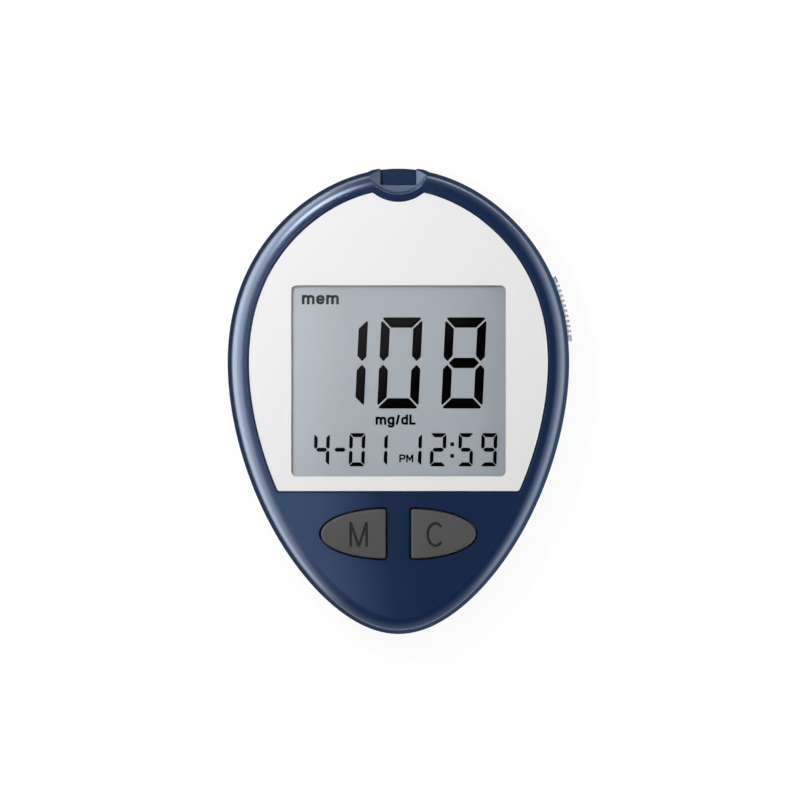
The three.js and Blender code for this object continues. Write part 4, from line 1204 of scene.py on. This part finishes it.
def floor():
    """Ground that is white to the camera and in glossy surfaces, and light grey to matt ones."""
    mesh = bpy.data.meshes.new("floor")
    half = 4.0
    corners = [(-half, -half, 0), (half, -half, 0), (half, half, 0), (-half, half, 0)]
    mesh.from_pydata(corners, [], [(0, 1, 2, 3)])
    made, tree = plain("floor")
    rays = added(tree, "LightPath").outputs
    direct = added(tree, "Math", {0: rays["Is Camera Ray"], 1: rays["Is Glossy Ray"]}, "ADD")
    seen = added(tree, "Math", {0: direct.outputs[0], 1: rays["Is Transmission Ray"]}, "ADD")
    seen.use_clamp = True
    unseen_tone, seen_tone, glow = 0.85, 0.09, 0.925
    tones = {"A": (*[unseen_tone] * 3, 1), "B": (*[seen_tone] * 3, 1), "Factor": seen.outputs[0]}
    inputs = {
        "Roughness": 1.0,
        "Specular IOR Level": 0.0,
        "Base Color": added(tree, "Mix", tones).outputs["Result"],
        "Emission Color": (1, 1, 1, 1),
        "Emission Strength": added(tree, "Math", {0: seen.outputs[0], 1: glow}, "MULTIPLY").outputs[0],
    }
    shade(tree, inputs)
    mesh.materials.append(made)
    linked("floor", mesh)


def lamp(name, place, size, brightness, aim=(0, 0, 0.015), soft=True, shine=True, oval=True, fade=0):
    """Panel facing aim. brightness is that of its surface, where 1 shows as white.
    soft says that it lights matt surfaces, shine that glossy ones show it, and fade how it dims
    towards its edge."""
    light = bpy.data.lights.new(name, "AREA")
    light.shape = "ELLIPSE" if oval else "RECTANGLE"
    light.size, light.size_y = size
    light.energy = brightness * math.pi * size[0] * size[1] * (math.pi / 4 if oval else 1)
    if fade:
        light.use_nodes = True
        tree = light.node_tree
        spot = added(tree, "NewGeometry").outputs["Parametric"]
        offset = added(tree, "VectorMath", {0: spot, 1: (0.5, 0.5, 0)}, "SUBTRACT").outputs["Vector"]
        square = added(tree, "VectorMath", {0: offset, 1: offset}, "DOT_PRODUCT").outputs["Value"]
        inside = added(tree, "MapRange", {"From Min": 0.25, "From Max": 0, "Value": square})
        strength = added(tree, "Math", {0: inside.outputs["Result"], 1: fade}, "POWER")
        feed(tree, tree.nodes["Emission"].inputs["Strength"], strength.outputs["Value"])
    holder = linked(name, light)
    holder.location = place
    holder.rotation_euler = (Vector(place) - Vector(aim)).to_track_quat("Z", "Y").to_euler()
    holder.visible_camera = False
    holder.visible_diffuse = soft
    holder.visible_glossy = shine


# Sine of the height above the horizon, and tone
SKY = ((0.0, 0.5), (0.4, 0.34), (0.7, 0.06), (0.9, 0.005))


def world():
    """White to the camera, and a sky that darkens overhead to everything else."""
    made = bpy.data.worlds.new("studio")
    bpy.context.scene.world = made
    made.use_nodes = True
    tree = made.node_tree
    place = added(tree, "TexCoord").outputs["Generated"]
    height = added(tree, "SeparateXYZ", {"Vector": place}).outputs["Z"]
    sky = ramp(tree, height, [(stop, (tone, tone, tone)) for stop, tone in SKY])
    rays = added(tree, "LightPath").outputs
    shown = added(tree, "Mix", {"A": sky, "B": (1, 1, 1, 1), "Factor": rays["Is Camera Ray"]})
    feed(tree, tree.nodes["Background"].inputs["Color"], shown.outputs["Result"])


def camera():
    lens_data = bpy.data.cameras.new("camera")
    distance, span = 1.5, 0.1512
    lens_data.lens = lens_data.sensor_width * distance / span
    holder = linked("camera", lens_data)
    holder.location = (0.0003, 0.00025, distance + 0.0165)
    bpy.context.scene.camera = holder


floor()
LEFT_RIM = (-0.03, 0.0, 0.02)
RIGHT_RIM = (0.03, 0.0, 0.02)
lamp("left_low", (-0.223, 0.03, 0.05), (0.64, 0.17), 1.95, LEFT_RIM, soft=False, oval=False)
lamp("left_glow", (-0.225, 0.034, 0.055), (1.0, 1.0), 3.0, LEFT_RIM, soft=False, fade=2)
lamp("left_high", (-0.113, 0.014, 0.12), (0.26, 0.26), 1.0, LEFT_RIM, soft=False, fade=1)
lamp("left_over", (-0.036, -0.036, 0.15), (0.05, 0.06), 0.55, (-0.036, -0.036, 0.0), soft=False, fade=1)
lamp("right_low", (0.228, -0.015, 0.04), (0.4, 0.15), 0.85, RIGHT_RIM, oval=False)
lamp("right_glow", (0.228, -0.005, 0.038), (0.6, 0.72), 1.38, RIGHT_RIM, fade=2)
lamp("back_strip", (0.03, 0.26, 0.014), (0.6, 0.03), 4.5, soft=False)
lamp("spot", (-0.116, 0.188, 0.26), (0.14, 0.15), 12.5, (-0.015, 0.038, 0.02), soft=False, fade=1)
lamp("key", (-0.055, 0.046, 0.27), (0.05, 0.05), 60.0, shine=False)
lamp("top_fill", (-0.05, 0.05, 0.5), (0.4, 0.4), 1.3, shine=False)
lamp("front_fill", (0.0, -0.3, 0.05), (0.4, 0.1), 2.2, shine=False)
world()
camera()

bpy.context.scene.view_settings.view_transform = "Standard"
